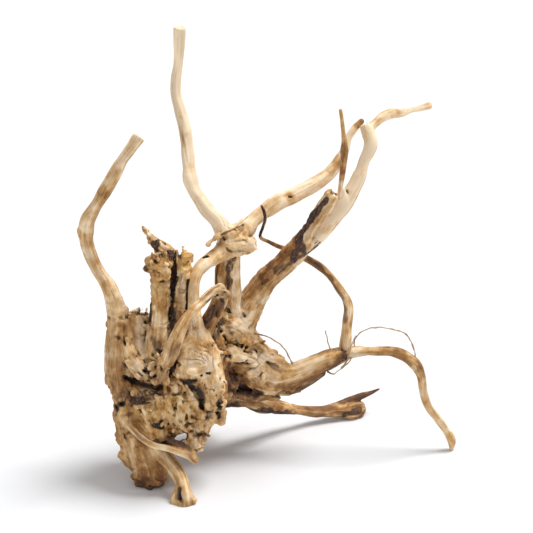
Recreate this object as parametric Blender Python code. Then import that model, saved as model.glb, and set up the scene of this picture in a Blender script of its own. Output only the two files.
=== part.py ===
"""Spider wood: a debarked azalea root stump with its free roots, standing on its feet.

Every root is a route of points (x, y, z, radius) in millimetres, from its inner end outwards.
The stump's masses are strands grown together. A free root is split from the mass it grows from
at its fork: the mass keeps a short stub with a flat end, and the root starts just past it.
Z is up, the rest plane is Z = 0, and the origin is below the middle of the whole.
"""
import math

import bmesh
import bpy
import numpy as np
from mathutils import Matrix, Vector

MM = 0.001
GAP = 0.3  # mm left between two pieces where they part
STUB_PAST = 4.0  # mm that a mass's strand runs past the split before it is cut off flat

# The free roots, each with the mass that it grows from at the start of its route.
LEFT_BRANCH = [
    (-124, -31, 136, 8), (-130, -31, 160, 6), (-139, -31, 176, 5), (-143, -32, 186, 5),
    (-146, -34, 199, 5.5), (-146, -36, 209, 6), (-144, -38, 219, 5.5), (-139, -39, 228, 4.7),
    (-134, -40, 236, 5), (-125, -40, 251, 5), (-117, -38, 265, 4.3), (-111, -36, 273, 4.5),
    (-105, -33, 281, 4.8),
]
TALL_BRANCH = [
    (-38, -5, 191, 8.5), (-47, 1, 205, 6.3), (-55, 5, 212, 6), (-61, 9, 220, 6),
    (-66, 13, 227, 5.4), (-69, 17, 235, 5.5), (-70, 21, 243, 5), (-71, 26, 254, 5),
    (-73, 31, 270, 5), (-77, 35, 286, 4.7), (-80, 38, 297, 4.3), (-80, 39, 309, 4.3),
    (-78, 38, 322, 3.8), (-77, 36, 333, 4.4), (-76, 33, 350, 4.8),
]
UPPER_ARM = [
    (-33, -2, 195, 8), (-22, 5, 202, 6), (-13, 11, 208, 5.7), (-6, 15, 212, 6.7),
    (2, 19, 216, 7), (10, 23, 218, 6.4), (18, 27, 221, 6.4), (26, 31, 224, 6),
    (34, 35, 228, 5.4), (42, 40, 233, 5), (49, 44, 242, 4.4), (54, 47, 250, 3.6),
    (56, 49, 258, 3.3), (61, 51, 266, 2.8), (67, 53, 272, 2.4),
]
DIAGONAL_TRUNK = [
    (-39, 19, 93, 14), (-32, 19, 110, 13.5), (-25, 18, 124, 11.8), (-17, 16, 139, 10),
    (-8, 14, 152, 9.3), (2, 11, 163, 9), (10, 9, 173, 8.8), (18, 7, 183, 8),
]
BARKED_STUB = [
    (14, 6, 179, 6.7), (23, -1, 196, 5.7), (30, -5, 210, 5.3), (36, -7, 220, 5.4),
    (41, -8, 229, 5.4),
]
SMOOTH_ARM = [
    (14, 10, 176, 8), (30, 14, 189, 8), (41, 15, 202, 8), (52, 16, 215, 7.3),
    (60, 17, 228, 6), (65, 19, 239, 5.2), (68, 21, 249, 4.6), (72, 23, 257, 5.3),
    (73, 25, 263, 5.7), (70, 27, 271, 4.9), (68, 29, 277, 4.3),
]
FINGER = [
    (71, 28, 268, 4.2), (74, 35, 272.5, 3.6), (78, 39, 275, 3.4), (84, 45, 278, 4),
    (91, 51, 279, 4), (99, 57, 278, 3.2), (108, 63, 279, 2.3), (115, 68, 279, 2.5),
    (123, 73, 280, 2.8),
]
UPRIGHT_TWIG = [
    (52, 13, 216, 2.7), (49, 8, 224, 2.3), (49, 5, 233, 2.1), (50, 3, 244, 2.5),
    (51, 2, 256, 2.9), (51, 2, 262, 3.3), (51, 3, 269, 2.3), (50, 4, 277, 1.7),
    (49, 6, 285, 1.5), (48, 9, 292, 1.4),
]
LOOP_BRANCH = [
    (55, 11, 88, 5), (55, 11, 94, 4.9), (56, 13, 104, 4.3), (57, 16, 115, 4),
    (58, 19, 124, 3.7), (56, 23, 131, 3.5), (51, 26, 138, 3.3), (46, 28, 145, 3),
    (39, 29, 153, 2.9), (30, 29, 160, 3), (18, 28, 167, 2.7), (7, 26, 173, 2.2),
    (0, 22, 177, 1.8), (-7, 15, 183, 1.5), (-14, 7, 190, 1.3), (-12, 3, 199, 1.3),
    (-10, 0, 207, 1.4), (-11, -2, 214, 1.3), (-13, -3, 219, 1),
]
RIGHT_ROOT = [
    (-24, 8, 80, 14.7), (-6, 10, 68, 12.7), (6, 11, 67, 11), (19, 11, 71, 10),
    (28, 11, 76, 9.6), (36, 11, 80, 8.8), (45, 11, 84, 7.6), (53, 11, 87, 6.5),
    (60, 11, 89, 5), (69, 11, 90, 4.1), (80, 11, 90, 3.9), (91, 11, 90, 4),
    (100, 11, 88, 4.3), (108, 11, 83, 4.3), (114, 11, 77, 4.7), (118, 11, 68, 3.9),
    (120, 11, 56, 3.4), (123, 11, 45, 3.6), (127, 11, 37, 3.3), (134, 11, 28, 3.2),
    (140, 11, 19, 3), (144, 11, 13, 3.6), (146, 11, 7, 3.1), (146, 11, 1, 1.8),
    (146, 11, -3, 1.8),
]
LOW_ROOT = [
    (-66, -2, 64, 11), (-50, 10, 50, 9), (-34, 19, 43, 6.5), (-23, 25, 40, 7), (-13, 31, 33, 7.6),
    (-3, 38, 28, 6.4), (9, 47, 21, 4.7), (22, 55, 16, 4.1), (34, 62, 11, 5),
    (46, 67, 9.5, 5.2), (57, 71, 8, 6), (65, 74, 6.5, 7.2), (71, 77, 6.5, 6.8),
]
LOW_SPIKE = [
    (48, 69, 10, 4), (62, 76, 14, 3.5), (73, 80, 17, 2.9), (82, 83, 19, 2), (90, 85, 22, 0.8),
]
FRONT_FOOT = [
    (-102, -38, 38, 9), (-95, -47, 32, 8), (-89, -53, 27, 6.7), (-82, -62, 22, 6),
    (-76, -70, 16, 5.5), (-74, -75, 9, 6), (-73, -78, 4, 7), (-73, -79, -4, 8),
]
FRONT_WHIP = [
    (-120, -45, 60, 4), (-119, -55, 60, 3.3), (-115, -60, 56, 2.6), (-106, -65, 49, 2.4),
    (-97, -67, 44, 2.5), (-85, -68, 41.5, 2.6), (-75, -67, 37, 2.7), (-68, -66, 34, 2.9),
    (-65, -65, 29.5, 3),
]
STRAP = [
    (-96, -41, 84, 6), (-92, -52, 94, 6), (-88, -61, 106, 5.2), (-82, -68, 121, 5.5),
    (-77, -69, 135, 5.1), (-71, -66, 147, 4.3), (-64, -61, 155, 3.8), (-57, -55, 160, 3.6),
    (-50, -49, 163, 3.4), (-44, -43, 162, 3.4), (-42, -37, 154, 3.3), (-46, -33, 144, 3.5),
    (-51, -29, 132, 3.5), (-56, -24, 118, 3.9), (-58, -17, 107, 4),
]
WHIP_BACK = [
    (-66, -65, 32, 2.6), (-70, -64.5, 38.5, 2.7), (-77, -64, 43, 2.8), (-84, -63, 45.5, 2.4),
]
STRAP_WEB = [
    (-47, -43, 160, 3), (-49.5, -41, 151, 3.4), (-53, -37.5, 142, 3.9), (-57, -32.5, 133, 3.9),
    (-58, -30, 127, 3.3),
]
RISER = [
    (-62, -46, 112, 8.5), (-63, -43, 134, 5.8), (-65, -37, 149, 4.6), (-65, -33, 163, 4.4),
    (-63, -28, 172, 4.8), (-57, -22, 178, 5.6), (-49, -15, 181, 6.2), (-38, -6, 187, 7.5),
]
POST = [
    (-38, 13, 105, 11), (-37, 11, 132, 8), (-37, 9, 149, 7.2), (-37, 7, 164, 6.8),
    (-36, 3, 178, 6.6), (-36, -3, 189, 6.6),
]
BARK_RIB = [(-43, 2, 173, 4.2), (-45, 1, 165, 4.8), (-46, 2, 153, 4.6), (-46, 3, 142, 3.4)]
ROOTLET_ARCH = [
    (63, 11, 89, 0.7), (63, 11, 99, 0.6), (67, 11, 106, 0.6), (75, 11, 110, 0.6),
    (86, 11, 111, 0.6), (95, 11, 109, 0.6), (104, 11, 105, 0.6), (109, 11, 98, 0.6),
    (112, 11, 90, 0.6), (113, 11, 82, 0.7),
]
ROOTLET_FRONT = [
    (-22, 12, 105, 0.8), (-13, 10, 105, 0.6), (-5, 9, 102, 0.6), (2, 9, 97, 0.6),
    (7, 9, 90, 0.6), (11, 10, 82, 0.7), (13, 11, 76, 0.7),
]
ROOTLET_HOOK = [
    (62, 9, 87, 0.7), (58, 4, 84, 0.6), (51, 2, 78, 0.6), (46, 4, 73, 0.6), (41, 8, 73, 0.7),
]
ROOTLET_STRAY = [(44, 11, 90, 0.7), (42, 11, 96, 0.5), (40, 11, 103, 0.4), (39, 11, 108, 0.4)]

# The strands that have grown together into the masses.
CROWN_STRANDS = {
    "flank": [(-124, -31, 138, 8.4), (-125, -34, 123, 9), (-126, -37, 107, 9.4), (-126, -39, 93, 9.4),
              (-123, -41, 78, 8.5)],
    "bowl_lip": [(-118, -25, 130, 6), (-118, -39, 117, 5.8), (-113, -48, 106, 5.4), (-106, -54, 99, 4.8),
                 (-97, -57, 99, 4.4)],
    "bowl_back": [(-122, -17, 127, 6.3), (-113, -7, 124, 6.4), (-104, -1, 122, 6.4), (-93, 3, 120, 6)],
    "bowl_floor": [(-112, -9, 117, 8.8), (-108, -17, 106, 10.3), (-103, -29, 96, 11)],
    "bowl_bed": [(-121, -32, 104, 8), (-114, -34, 94, 9.5), (-104, -38, 90, 10)],
    "bowl_face": [(-113, -17, 126, 6.5), (-109, -29, 115, 8), (-105, -38, 103, 8.5), (-100, -43, 94, 8)],
    "bowl_wall": [(-119, -20, 114, 7), (-110, -16, 108, 9), (-99, -16, 108, 9)],
    "stump_left": [(-91, -31, 150, 6.8), (-92, -33, 139, 7), (-94, -37, 122, 7.8), (-96, -41, 107, 7)],
    "stump_right": [(-76, -29, 150, 5.8), (-79, -33, 135, 6.2), (-82, -39, 119, 6.6), (-84, -44, 106, 6.6)],
    "stump_back": [(-84, -15, 150, 8.7), (-85, -15, 128, 10.3), (-87, -17, 105, 13.5)],
    "knob": [(-62, -46, 124, 9), (-60, -48, 116, 12.4), (-57, -48, 99, 14), (-54, -46, 83, 12),
             (-49, -41, 67, 8), (-45, -39, 51, 4)],
    "knob_left": [(-68, -51, 116, 10), (-68, -53, 100, 10.8), (-64, -51, 87, 8.6)],
    "lower_left": [(-121, -39, 77, 8.7), (-118, -43, 63, 9.5), (-115, -47, 49, 10.7), (-109, -47, 31, 12),
                   (-104, -45, 14, 12.8), (-102, -43, 1, 13), (-101, -42, -11, 12)],
    "left_edge": [(-124, -40, 68, 5), (-124, -44, 52, 5), (-121, -46, 35, 5), (-117, -45, 18, 5)],
    "lower_mid": [(-104, -39, 80, 15), (-99, -43, 66, 16.6), (-96, -45, 52, 15), (-93, -45, 37, 10.3)],
    "lower_right": [(-80, -41, 84, 15), (-77, -43, 68, 15.8), (-74, -43, 52, 14.2), (-70, -41, 38, 8.8)],
    "lower_fringe": [(-57, -41, 74, 11.8), (-59, -41, 57, 10.7), (-62, -39, 42, 6.4), (-65, -37, 29, 3.6)],
    "core_low": [(-85, -13, 100, 20), (-86, -21, 79, 25.6), (-89, -27, 59, 24), (-94, -33, 40, 16)],
    "core_high": [(-57, -9, 105, 14.4), (-58, -9, 89, 17.7), (-55, -7, 71, 18.6)],
    "back_burl": [(-42, 7, 93, 14.6), (-29, 17, 78, 16.5), (-18, 17, 71, 14)],
    "burl_skirt": [(-40, 12, 72, 10), (-28, 16, 64, 10), (-16, 15, 60, 8.5), (-6, 13, 58, 6.5)],
    "burl_top": [(-46, -1, 121, 8), (-35, 11, 109, 13), (-25, 21, 94, 11.5), (-13, 23, 82, 8.3),
                 (2, 19, 76, 6.6)],
    "heel": [(-103, -1, 101, 10.5), (-105, -3, 75, 11.4), (-106, -11, 53, 11.4), (-105, -25, 36, 10.5),
             (-103, -35, 22, 9.6), (-103, -37, 7, 8)],
    "back_rib": [(-67, 25, 89, 10.7), (-73, 33, 63, 14.2), (-78, 27, 40, 14.3), (-83, 9, 25, 11.6)],
    "back_rib_2": [(-43, 33, 87, 10.8), (-48, 41, 58, 12.7), (-55, 33, 39, 11)],
}
STUMP_STRANDS = {
    "stump_left": [(-91, -29, 177, 6.6), (-91, -31, 160, 6.6), (-92, -33, 139, 7), (-94, -37, 122, 7.8)],
    "stump_right": [(-73, -25, 182, 5.4), (-75, -27, 166, 5.4), (-76, -29, 150, 5.8), (-79, -33, 135, 6.2),
                    (-82, -39, 119, 6.6)],
    "stump_back": [(-83, -15, 177, 7.8), (-84, -15, 153, 8.6), (-85, -15, 128, 10.3), (-86, -16, 115, 12)],
    "rim": [(-98, -31, 183, 3.8), (-91, -33, 186, 4), (-84, -31, 182, 3.8)],
    "side_knob": [(-94, -32, 177, 4), (-102, -34, 178, 2.4)],
    "horn": [(-73, -26, 177, 5), (-70, -25, 185, 3.8), (-73, -24, 192, 1.6)],
    "shard": [(-85, -23, 181, 6), (-90, -23, 189, 5), (-97, -22, 198, 3.4), (-104, -21, 208, 1.6)],
}
KNUCKLE_STRANDS = {
    "ball": [(-41, -9, 185, 7.5), (-37, -6, 190, 9.4), (-30, -1, 193, 8.8), (-24, 4, 198, 7)],
    "cut_stub": [(-36, -7, 188, 7.8), (-27, -9, 188, 6.8), (-20, -10, 190, 5.6)],
    "flake": [(-36, -10, 199, 3.4), (-47, -15, 198, 2.6), (-54, -17, 192, 1.6)],
}

FORK_PLANE_Z = 133  # mm, where the broken stump is split from the crown


def smooth_route(route, step=2.0):
    """Points about a step apart on the curve through a route, with their radii, in mm."""
    points = np.array(route, float)
    gaps = np.maximum(np.linalg.norm(np.diff(points[:, :3], axis=0), axis=1), 1e-6)
    at = np.concatenate([[0.0], np.cumsum(gaps)])
    slopes = np.zeros_like(points)
    for i in range(len(points)):
        before, after = max(i - 1, 0), min(i + 1, len(points) - 1)
        slopes[i] = (points[after] - points[before]) / (at[after] - at[before])
    rows = []
    for i in range(len(points) - 1):
        run = at[i + 1] - at[i]
        t = (np.arange(max(2, int(round(run / step)))) / max(2, int(round(run / step))))[:, None]
        rows.append(
            (2 * t**3 - 3 * t**2 + 1) * points[i] + (t**3 - 2 * t**2 + t) * run * slopes[i]
            + (3 * t**2 - 2 * t**3) * points[i + 1] + (t**3 - t**2) * run * slopes[i + 1]
        )
    rows.append(points[-1:])
    return np.concatenate(rows)


def trimmed(path, start, end):
    """The path less some mm at its start and at its end."""
    at = np.concatenate([[0.0], np.cumsum(np.linalg.norm(np.diff(path[:, :3], axis=0), axis=1))])
    inside = at[(at > start + 0.2) & (at < at[-1] - end - 0.2)]
    wanted = np.concatenate([[start], inside, [at[-1] - end]])
    return np.stack([np.interp(wanted, at, path[:, k]) for k in range(4)], axis=1)


def spaced(path, step):
    """The path again with its points evenly about a step apart."""
    at = np.concatenate([[0.0], np.cumsum(np.linalg.norm(np.diff(path[:, :3], axis=0), axis=1))])
    wanted = np.linspace(0.0, at[-1], max(2, int(round(at[-1] / step)) + 1))
    return np.stack([np.interp(wanted, at, path[:, k]) for k in range(4)], axis=1)


def longer(path):
    """The path with its two ends moved out by the gap."""
    path = path.copy()
    for end, inner in ((0, 1), (-1, -2)):
        away = path[end, :3] - path[inner, :3]
        path[end, :3] += away / np.linalg.norm(away) * GAP
    return path


def new_object(name, vertices, faces):
    """A mesh object from vertices in mm."""
    mesh = bpy.data.meshes.new(name)
    mesh.from_pydata([Vector(v) * MM for v in vertices], [], faces)
    mesh.validate()
    thing = bpy.data.objects.new(name, mesh)
    bpy.context.scene.collection.objects.link(thing)
    return thing


def tube(name, path, sides, oval=0.05, grown=0.0):
    """A closed root along a path, a little oval and angular as roots are."""
    tangents = np.gradient(path[:, :3], axis=0)
    tangents /= np.linalg.norm(tangents, axis=1)[:, None]
    side = Vector(tangents[0]).orthogonal().normalized()
    vertices, faces = [], []
    for i, (x, y, z, radius) in enumerate(path):
        tangent = Vector(tangents[i])
        side = (side - tangent * side.dot(tangent)).normalized()
        other = tangent.cross(side)
        for j in range(sides):
            turn = 2 * math.pi * j / sides
            wave = 1 + oval * math.cos(2 * turn + 0.35 * i) + 0.6 * oval * math.cos(3 * turn - 0.2 * i)
            reach = radius * wave + grown
            vertices.append(Vector((x, y, z)) + (side * math.cos(turn) + other * math.sin(turn)) * reach)
    rings = len(path)
    for i in range(rings - 1):
        for j in range(sides):
            a, b = i * sides + j, i * sides + (j + 1) % sides
            faces.append((a, b, b + sides, a + sides))
    faces.append(tuple(range(sides - 1, -1, -1)))
    faces.append(tuple(range((rings - 1) * sides, rings * sides)))
    return new_object(name, vertices, faces)


def settle(thing):
    """Turns an object's modifiers into its mesh."""
    graph = bpy.context.evaluated_depsgraph_get()
    mesh = bpy.data.meshes.new_from_object(thing.evaluated_get(graph))
    thing.modifiers.clear()
    old = thing.data
    thing.data = mesh
    bpy.data.meshes.remove(old)


def remove(thing):
    """Removes an object with its mesh."""
    mesh = thing.data
    bpy.data.objects.remove(thing)
    bpy.data.meshes.remove(mesh)


def combine(thing, other, operation, keep=False):
    """Joins another closed form to an object, or takes it away."""
    modifier = thing.modifiers.new("form", "BOOLEAN")
    modifier.operation = operation
    modifier.solver = "EXACT"
    modifier.object = other
    settle(thing)
    if not keep:
        remove(other)


def slab(name, centre, size):
    """A box by its centre and size in mm."""
    x, y, z = (s / 2 for s in size)
    corners = [(sx * x, sy * y, sz * z) for sx in (-1, 1) for sy in (-1, 1) for sz in (-1, 1)]
    faces = [(0, 1, 3, 2), (4, 6, 7, 5), (0, 4, 5, 1), (2, 3, 7, 6), (0, 2, 6, 4), (1, 5, 7, 3)]
    return new_object(name, [Vector(c) + Vector(centre) for c in corners], faces)


def end_cutter(point, direction, radius, run=26.0):
    """A drum that starts flat at a split and takes off all that lies past it."""
    direction = Vector(direction).normalized()
    turn = direction.to_track_quat("Z", "Y").to_matrix()
    rows, faces, sides = [], [], 16
    for height in (0.0, run):
        for j in range(sides):
            angle = 2 * math.pi * j / sides
            local = Vector((radius * math.cos(angle), radius * math.sin(angle), height))
            rows.append(Vector(point) + turn @ local)
    for j in range(sides):
        faces.append((j, (j + 1) % sides, (j + 1) % sides + sides, j + sides))
    faces.append(tuple(range(sides - 1, -1, -1)))
    faces.append(tuple(range(sides, 2 * sides)))
    return new_object("cutter", rows, faces)


def split_at(route, reach, from_end=False):
    """The split of a route a reach away from one end: its point, outward direction and radius."""
    path = smooth_route(route)
    if from_end:
        path = path[::-1]
    rest = trimmed(path, reach, 0.0)
    direction = rest[1, :3] - rest[0, :3]
    return rest[0, :3], direction, rest[0, 3]


def stub_of(route, reach, from_end=False):
    """The strand of a route that belongs to the mass, up to a little past its split."""
    path = smooth_route(route)
    if from_end:
        path = path[::-1]
    at = np.linalg.norm(np.diff(path[:, :3], axis=0), axis=1).sum()
    return trimmed(path, 0.0, at - reach - STUB_PAST)


def grown_together(name, paths, voxel, share, passes=2):
    """One skin round many strands, thinned to a share of its faces."""
    tubes = [tube("strand", path, 12, 0.04) for path in paths]
    whole = bmesh.new()
    for piece in tubes:
        whole.from_mesh(piece.data)
        remove(piece)
    mesh = bpy.data.meshes.new(name)
    whole.to_mesh(mesh)
    whole.free()
    thing = bpy.data.objects.new(name, mesh)
    bpy.context.scene.collection.objects.link(thing)
    skin = thing.modifiers.new("skin", "REMESH")
    skin.mode = "VOXEL"
    skin.voxel_size = voxel * MM
    smooth = thing.modifiers.new("smooth", "SMOOTH")
    smooth.factor = 0.5
    smooth.iterations = passes
    fewer = thing.modifiers.new("fewer", "DECIMATE")
    fewer.ratio = share
    settle(thing)
    return thing


def cut_stub(mass, route, reach, from_end=False, room=1.5):
    """Cuts a mass's stub off flat where the free root starts."""
    point, direction, radius = split_at(route, reach, from_end)
    combine(mass, end_cutter(point, direction, radius * room + 2.0), "DIFFERENCE")


def clear_split(thing, route, reach, from_end=False):
    """Cuts a free root off flat and parallel to its mass's stub, a gap away from it."""
    point, direction, radius = split_at(route, reach, from_end)
    direction = Vector(direction).normalized()
    drum = end_cutter(Vector(point) + direction * GAP, -direction, radius * 1.6 + 2.0, 9.0)
    combine(thing, drum, "DIFFERENCE")


def free_root(name, route, start, end=0.0, sides=10, step=9.0):
    """The free root past its split, and up to a second split if it has one."""
    path = trimmed(smooth_route(route), max(start - 2.5, 0.0), max(end - 2.5, 0.0))
    root = tube(name, spaced(path, step), sides)
    if start:
        clear_split(root, route, start)
    if end:
        clear_split(root, route, end, True)
    return root


def level(thing):
    """Wears a foot flat at the rest plane."""
    combine(thing, slab("ground", (0, 0, -50), (600, 600, 100)), "DIFFERENCE")


def tidy(thing):
    """Keeps the one largest connected form, with even triangles and outward normals."""
    form = bmesh.new()
    form.from_mesh(thing.data)
    bmesh.ops.remove_doubles(form, verts=form.verts, dist=0.00005)
    seen, islands = set(), []
    for face in form.faces:
        if face in seen:
            continue
        island, queue = [], [face]
        seen.add(face)
        while queue:
            here = queue.pop()
            island.append(here)
            for edge in here.edges:
                for other in edge.link_faces:
                    if other not in seen:
                        seen.add(other)
                        queue.append(other)
        islands.append(island)
    islands.sort(key=lambda island: sum(f.calc_area() for f in island), reverse=True)
    spare = [f for island in islands[1:] for f in island]
    bmesh.ops.delete(form, geom=spare, context="FACES")
    bmesh.ops.triangulate(form, faces=form.faces)
    bmesh.ops.recalc_face_normals(form, faces=form.faces)
    form.to_mesh(thing.data)
    form.free()
    thing.data.update()


def socket(mass, route, sides=6):
    """Clears room in a mass for a rootlet's embedded end."""
    path = spaced(smooth_route(route), 5.0)
    combine(mass, tube("cutter", longer(path), sides, 0.0, grown=GAP), "DIFFERENCE")


def main():
    for thing in list(bpy.data.objects):
        bpy.data.objects.remove(thing)

    # The crown: the stump's mass with stubs for the roots that leave it.
    crown_paths = [smooth_route(route, 4.0) for route in CROWN_STRANDS.values()]
    crown_forks = [
        (LEFT_BRANCH, 14.0, False), (RISER, 26.0, False), (STRAP, 26.0, False), (STRAP, 16.0, True),
        (POST, 35.0, False), (DIAGONAL_TRUNK, 44.0, False), (RIGHT_ROOT, 26.0, False),
        (LOW_ROOT, 46.0, False), (FRONT_FOOT, 17.0, False), (FRONT_WHIP, 12.0, False),
    ]
    crown_paths += [stub_of(route, reach, end) for route, reach, end in crown_forks]
    crown = grown_together("rootstock", crown_paths, 3.6, 0.182)
    combine(crown, slab("cutter", (-85, -20, FORK_PLANE_Z + 20), (44, 50, 40)), "DIFFERENCE")
    for route, reach, end in crown_forks:
        cut_stub(crown, route, reach, end, 1.1)
    level(crown)

    # The broken stump that stands on the crown, with its splintered rim.
    stump_paths = [smooth_route(route, 4.0) for route in STUMP_STRANDS.values()]
    stump = grown_together("broken_stump", stump_paths, 2.6, 0.22)
    combine(stump, slab("cutter", (-85, -20, FORK_PLANE_Z + GAP - 30), (80, 80, 60)), "DIFFERENCE")

    # The knuckle where the riser and the post meet and the upper branches part.
    knuckle_paths = [smooth_route(route, 3.0) for route in KNUCKLE_STRANDS.values()]
    knuckle_forks = [
        (RISER, 20.0, True), (POST, 13.0, True), (TALL_BRANCH, 16.0, False), (UPPER_ARM, 15.0, False),
    ]
    knuckle_paths += [stub_of(route, reach, end) for route, reach, end in knuckle_forks]
    knuckle = grown_together("knuckle", knuckle_paths, 2.2, 0.2)
    for route, reach, end in knuckle_forks:
        cut_stub(knuckle, route, reach, end, 1.1)

    # The diagonal trunk forks into the barked stub and the smooth arm.
    trunk_path = trimmed(smooth_route(DIAGONAL_TRUNK), 38.0, 0.0)
    trunk_paths = [trunk_path, smooth_route(BARKED_STUB), stub_of(SMOOTH_ARM, 24.0)]
    trunk = grown_together("diagonal_trunk", trunk_paths, 2.8, 0.2)
    clear_split(trunk, DIAGONAL_TRUNK, 44.0)
    cut_stub(trunk, SMOOTH_ARM, 24.0, False, 1.1)

    post = free_root("post", POST, 35.0, 13.0)
    combine(post, tube("rib", spaced(smooth_route(BARK_RIB), 8.0), 8), "UNION")
    riser = free_root("riser", RISER, 26.0, 20.0, sides=10, step=7.0)
    strap = free_root("strap_root", STRAP, 26.0, 16.0, sides=8, step=7.0)
    combine(strap, tube("web", spaced(smooth_route(STRAP_WEB), 7.0), 7), "UNION")
    left = free_root("left_branch", LEFT_BRANCH, 14.0)
    tall = free_root("tall_branch", TALL_BRANCH, 16.0)
    upper = free_root("upper_arm", UPPER_ARM, 15.0)
    arm = free_root("smooth_arm", SMOOTH_ARM, 24.0)
    combine(arm, slab("cutter", (68, 29, 290), (24, 24, 24)), "DIFFERENCE")
    finger = free_root("finger", FINGER, 0.0, sides=8, step=6.5)
    twig = free_root("upright_twig", UPRIGHT_TWIG, 0.0, sides=7, step=8.0)
    loop = free_root("loop_branch", LOOP_BRANCH, 0.0, sides=8, step=8.0)
    right = free_root("right_root", RIGHT_ROOT, 26.0)
    level(right)
    low = free_root("low_root", LOW_ROOT, 46.0)
    combine(low, tube("spike", spaced(smooth_route(LOW_SPIKE), 8.0), 7), "UNION")
    level(low)
    foot = free_root("front_foot", FRONT_FOOT, 17.0, step=6.0)
    level(foot)
    whip = free_root("front_whip", FRONT_WHIP, 12.0, sides=7, step=7.0)
    combine(whip, tube("back", spaced(smooth_route(WHIP_BACK), 6.0), 7), "UNION")

    # Side roots that spring from the flank of another root sit in a close socket there.
    for mass, child in ((arm, finger), (arm, twig), (right, loop)):
        route = {"finger": FINGER, "upright_twig": UPRIGHT_TWIG, "loop_branch": LOOP_BRANCH}[child.name]
        step = 6.5 if child.name == "finger" else 8.0
        sides = 7 if child.name == "upright_twig" else 8
        room = tube("cutter", longer(spaced(smooth_route(route), step)), sides, grown=GAP)
        combine(mass, room, "DIFFERENCE")

    rootlets = []
    for name, route, masses in (
        ("rootlet_arch", ROOTLET_ARCH, (right, loop)),
        ("rootlet_front", ROOTLET_FRONT, (crown, trunk, right)),
        ("rootlet_hook", ROOTLET_HOOK, (right, loop)),
        ("rootlet_stray", ROOTLET_STRAY, (right,)),
    ):
        for mass in masses:
            socket(mass, route)
        rootlets.append(tube(name, spaced(smooth_route(route), 5.0), 6, 0.0))

    pieces = [
        crown, stump, knuckle, trunk, post, riser, strap, left, tall, upper, arm, finger, twig,
        loop, right, low, foot, whip, *rootlets,
    ]
    for piece in pieces:
        tidy(piece)
        piece.matrix_world = Matrix.Identity(4)


main()
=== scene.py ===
import math

import bpy
import numpy as np
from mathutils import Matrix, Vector


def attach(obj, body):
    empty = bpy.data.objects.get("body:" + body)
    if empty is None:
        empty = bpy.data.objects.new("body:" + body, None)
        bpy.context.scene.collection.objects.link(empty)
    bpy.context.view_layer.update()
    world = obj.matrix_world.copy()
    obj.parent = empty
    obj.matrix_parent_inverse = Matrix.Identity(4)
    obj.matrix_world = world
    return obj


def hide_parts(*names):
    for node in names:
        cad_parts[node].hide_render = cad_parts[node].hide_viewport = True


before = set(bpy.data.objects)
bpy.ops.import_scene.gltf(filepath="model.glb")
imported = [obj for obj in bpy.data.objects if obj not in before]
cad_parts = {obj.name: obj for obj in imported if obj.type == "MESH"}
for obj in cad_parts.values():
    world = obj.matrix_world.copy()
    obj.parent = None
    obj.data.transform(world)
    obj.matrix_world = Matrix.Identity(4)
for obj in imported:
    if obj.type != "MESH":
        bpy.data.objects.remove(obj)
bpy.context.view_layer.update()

MM = 0.001

# The photograph's view: 533 x 533 pixels, a 100 mm lens that looks down by 20 degrees at a point
# beside the diagonal trunk, 0.8 mm a pixel there.
VIEW_SIZE = 533
LENS, SENSOR = 100.0, 36.0
LOOK_DOWN = math.radians(20)
AIM = np.array([-9.0, 11.0, 163.6])
SHARP = LENS / SENSOR * VIEW_SIZE
STAND_OFF = 0.8 * SHARP
FORWARD = np.array([0.0, math.cos(LOOK_DOWN), -math.sin(LOOK_DOWN)])
UPWARD = np.array([0.0, math.sin(LOOK_DOWN), math.cos(LOOK_DOWN)])
RIGHTWARD = np.array([1.0, 0.0, 0.0])
EYE = AIM - FORWARD * STAND_OFF

# The free roots, as in the part: points (x, y, z, radius) in mm from the inner end outwards.
LEFT_BRANCH = [
    (-124, -31, 136, 8), (-130, -31, 160, 6), (-139, -31, 176, 5), (-143, -32, 186, 5),
    (-146, -34, 199, 5.5), (-146, -36, 209, 6), (-144, -38, 219, 5.5), (-139, -39, 228, 4.7),
    (-134, -40, 236, 5), (-125, -40, 251, 5), (-117, -38, 265, 4.3), (-111, -36, 273, 4.5),
    (-105, -33, 281, 4.8),
]
TALL_BRANCH = [
    (-38, -5, 191, 8.5), (-47, 1, 205, 6.3), (-55, 5, 212, 6), (-61, 9, 220, 6),
    (-66, 13, 227, 5.4), (-69, 17, 235, 5.5), (-70, 21, 243, 5), (-71, 26, 254, 5),
    (-73, 31, 270, 5), (-77, 35, 286, 4.7), (-80, 38, 297, 4.3), (-80, 39, 309, 4.3),
    (-78, 38, 322, 3.8), (-77, 36, 333, 4.4), (-76, 33, 350, 4.8),
]
UPPER_ARM = [
    (-33, -2, 195, 8), (-22, 5, 202, 6), (-13, 11, 208, 5.7), (-6, 15, 212, 6.7),
    (2, 19, 216, 7), (10, 23, 218, 6.4), (18, 27, 221, 6.4), (26, 31, 224, 6),
    (34, 35, 228, 5.4), (42, 40, 233, 5), (49, 44, 242, 4.4), (54, 47, 250, 3.6),
    (56, 49, 258, 3.3), (61, 51, 266, 2.8), (67, 53, 272, 2.4),
]
DIAGONAL_TRUNK = [
    (-39, 19, 93, 14), (-32, 19, 110, 13.5), (-25, 18, 124, 11.8), (-17, 16, 139, 10),
    (-8, 14, 152, 9.3), (2, 11, 163, 9), (10, 9, 173, 8.8), (18, 7, 183, 8),
]
BARKED_STUB = [
    (14, 6, 179, 6.7), (23, -1, 196, 5.7), (30, -5, 210, 5.3), (36, -7, 220, 5.4),
    (41, -8, 229, 5.4),
]
SMOOTH_ARM = [
    (14, 10, 176, 8), (30, 14, 189, 8), (41, 15, 202, 8), (52, 16, 215, 7.3),
    (60, 17, 228, 6), (65, 19, 239, 5.2), (68, 21, 249, 4.6), (72, 23, 257, 5.3),
    (73, 25, 263, 5.7), (70, 27, 271, 4.9), (68, 29, 277, 4.3),
]
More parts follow.
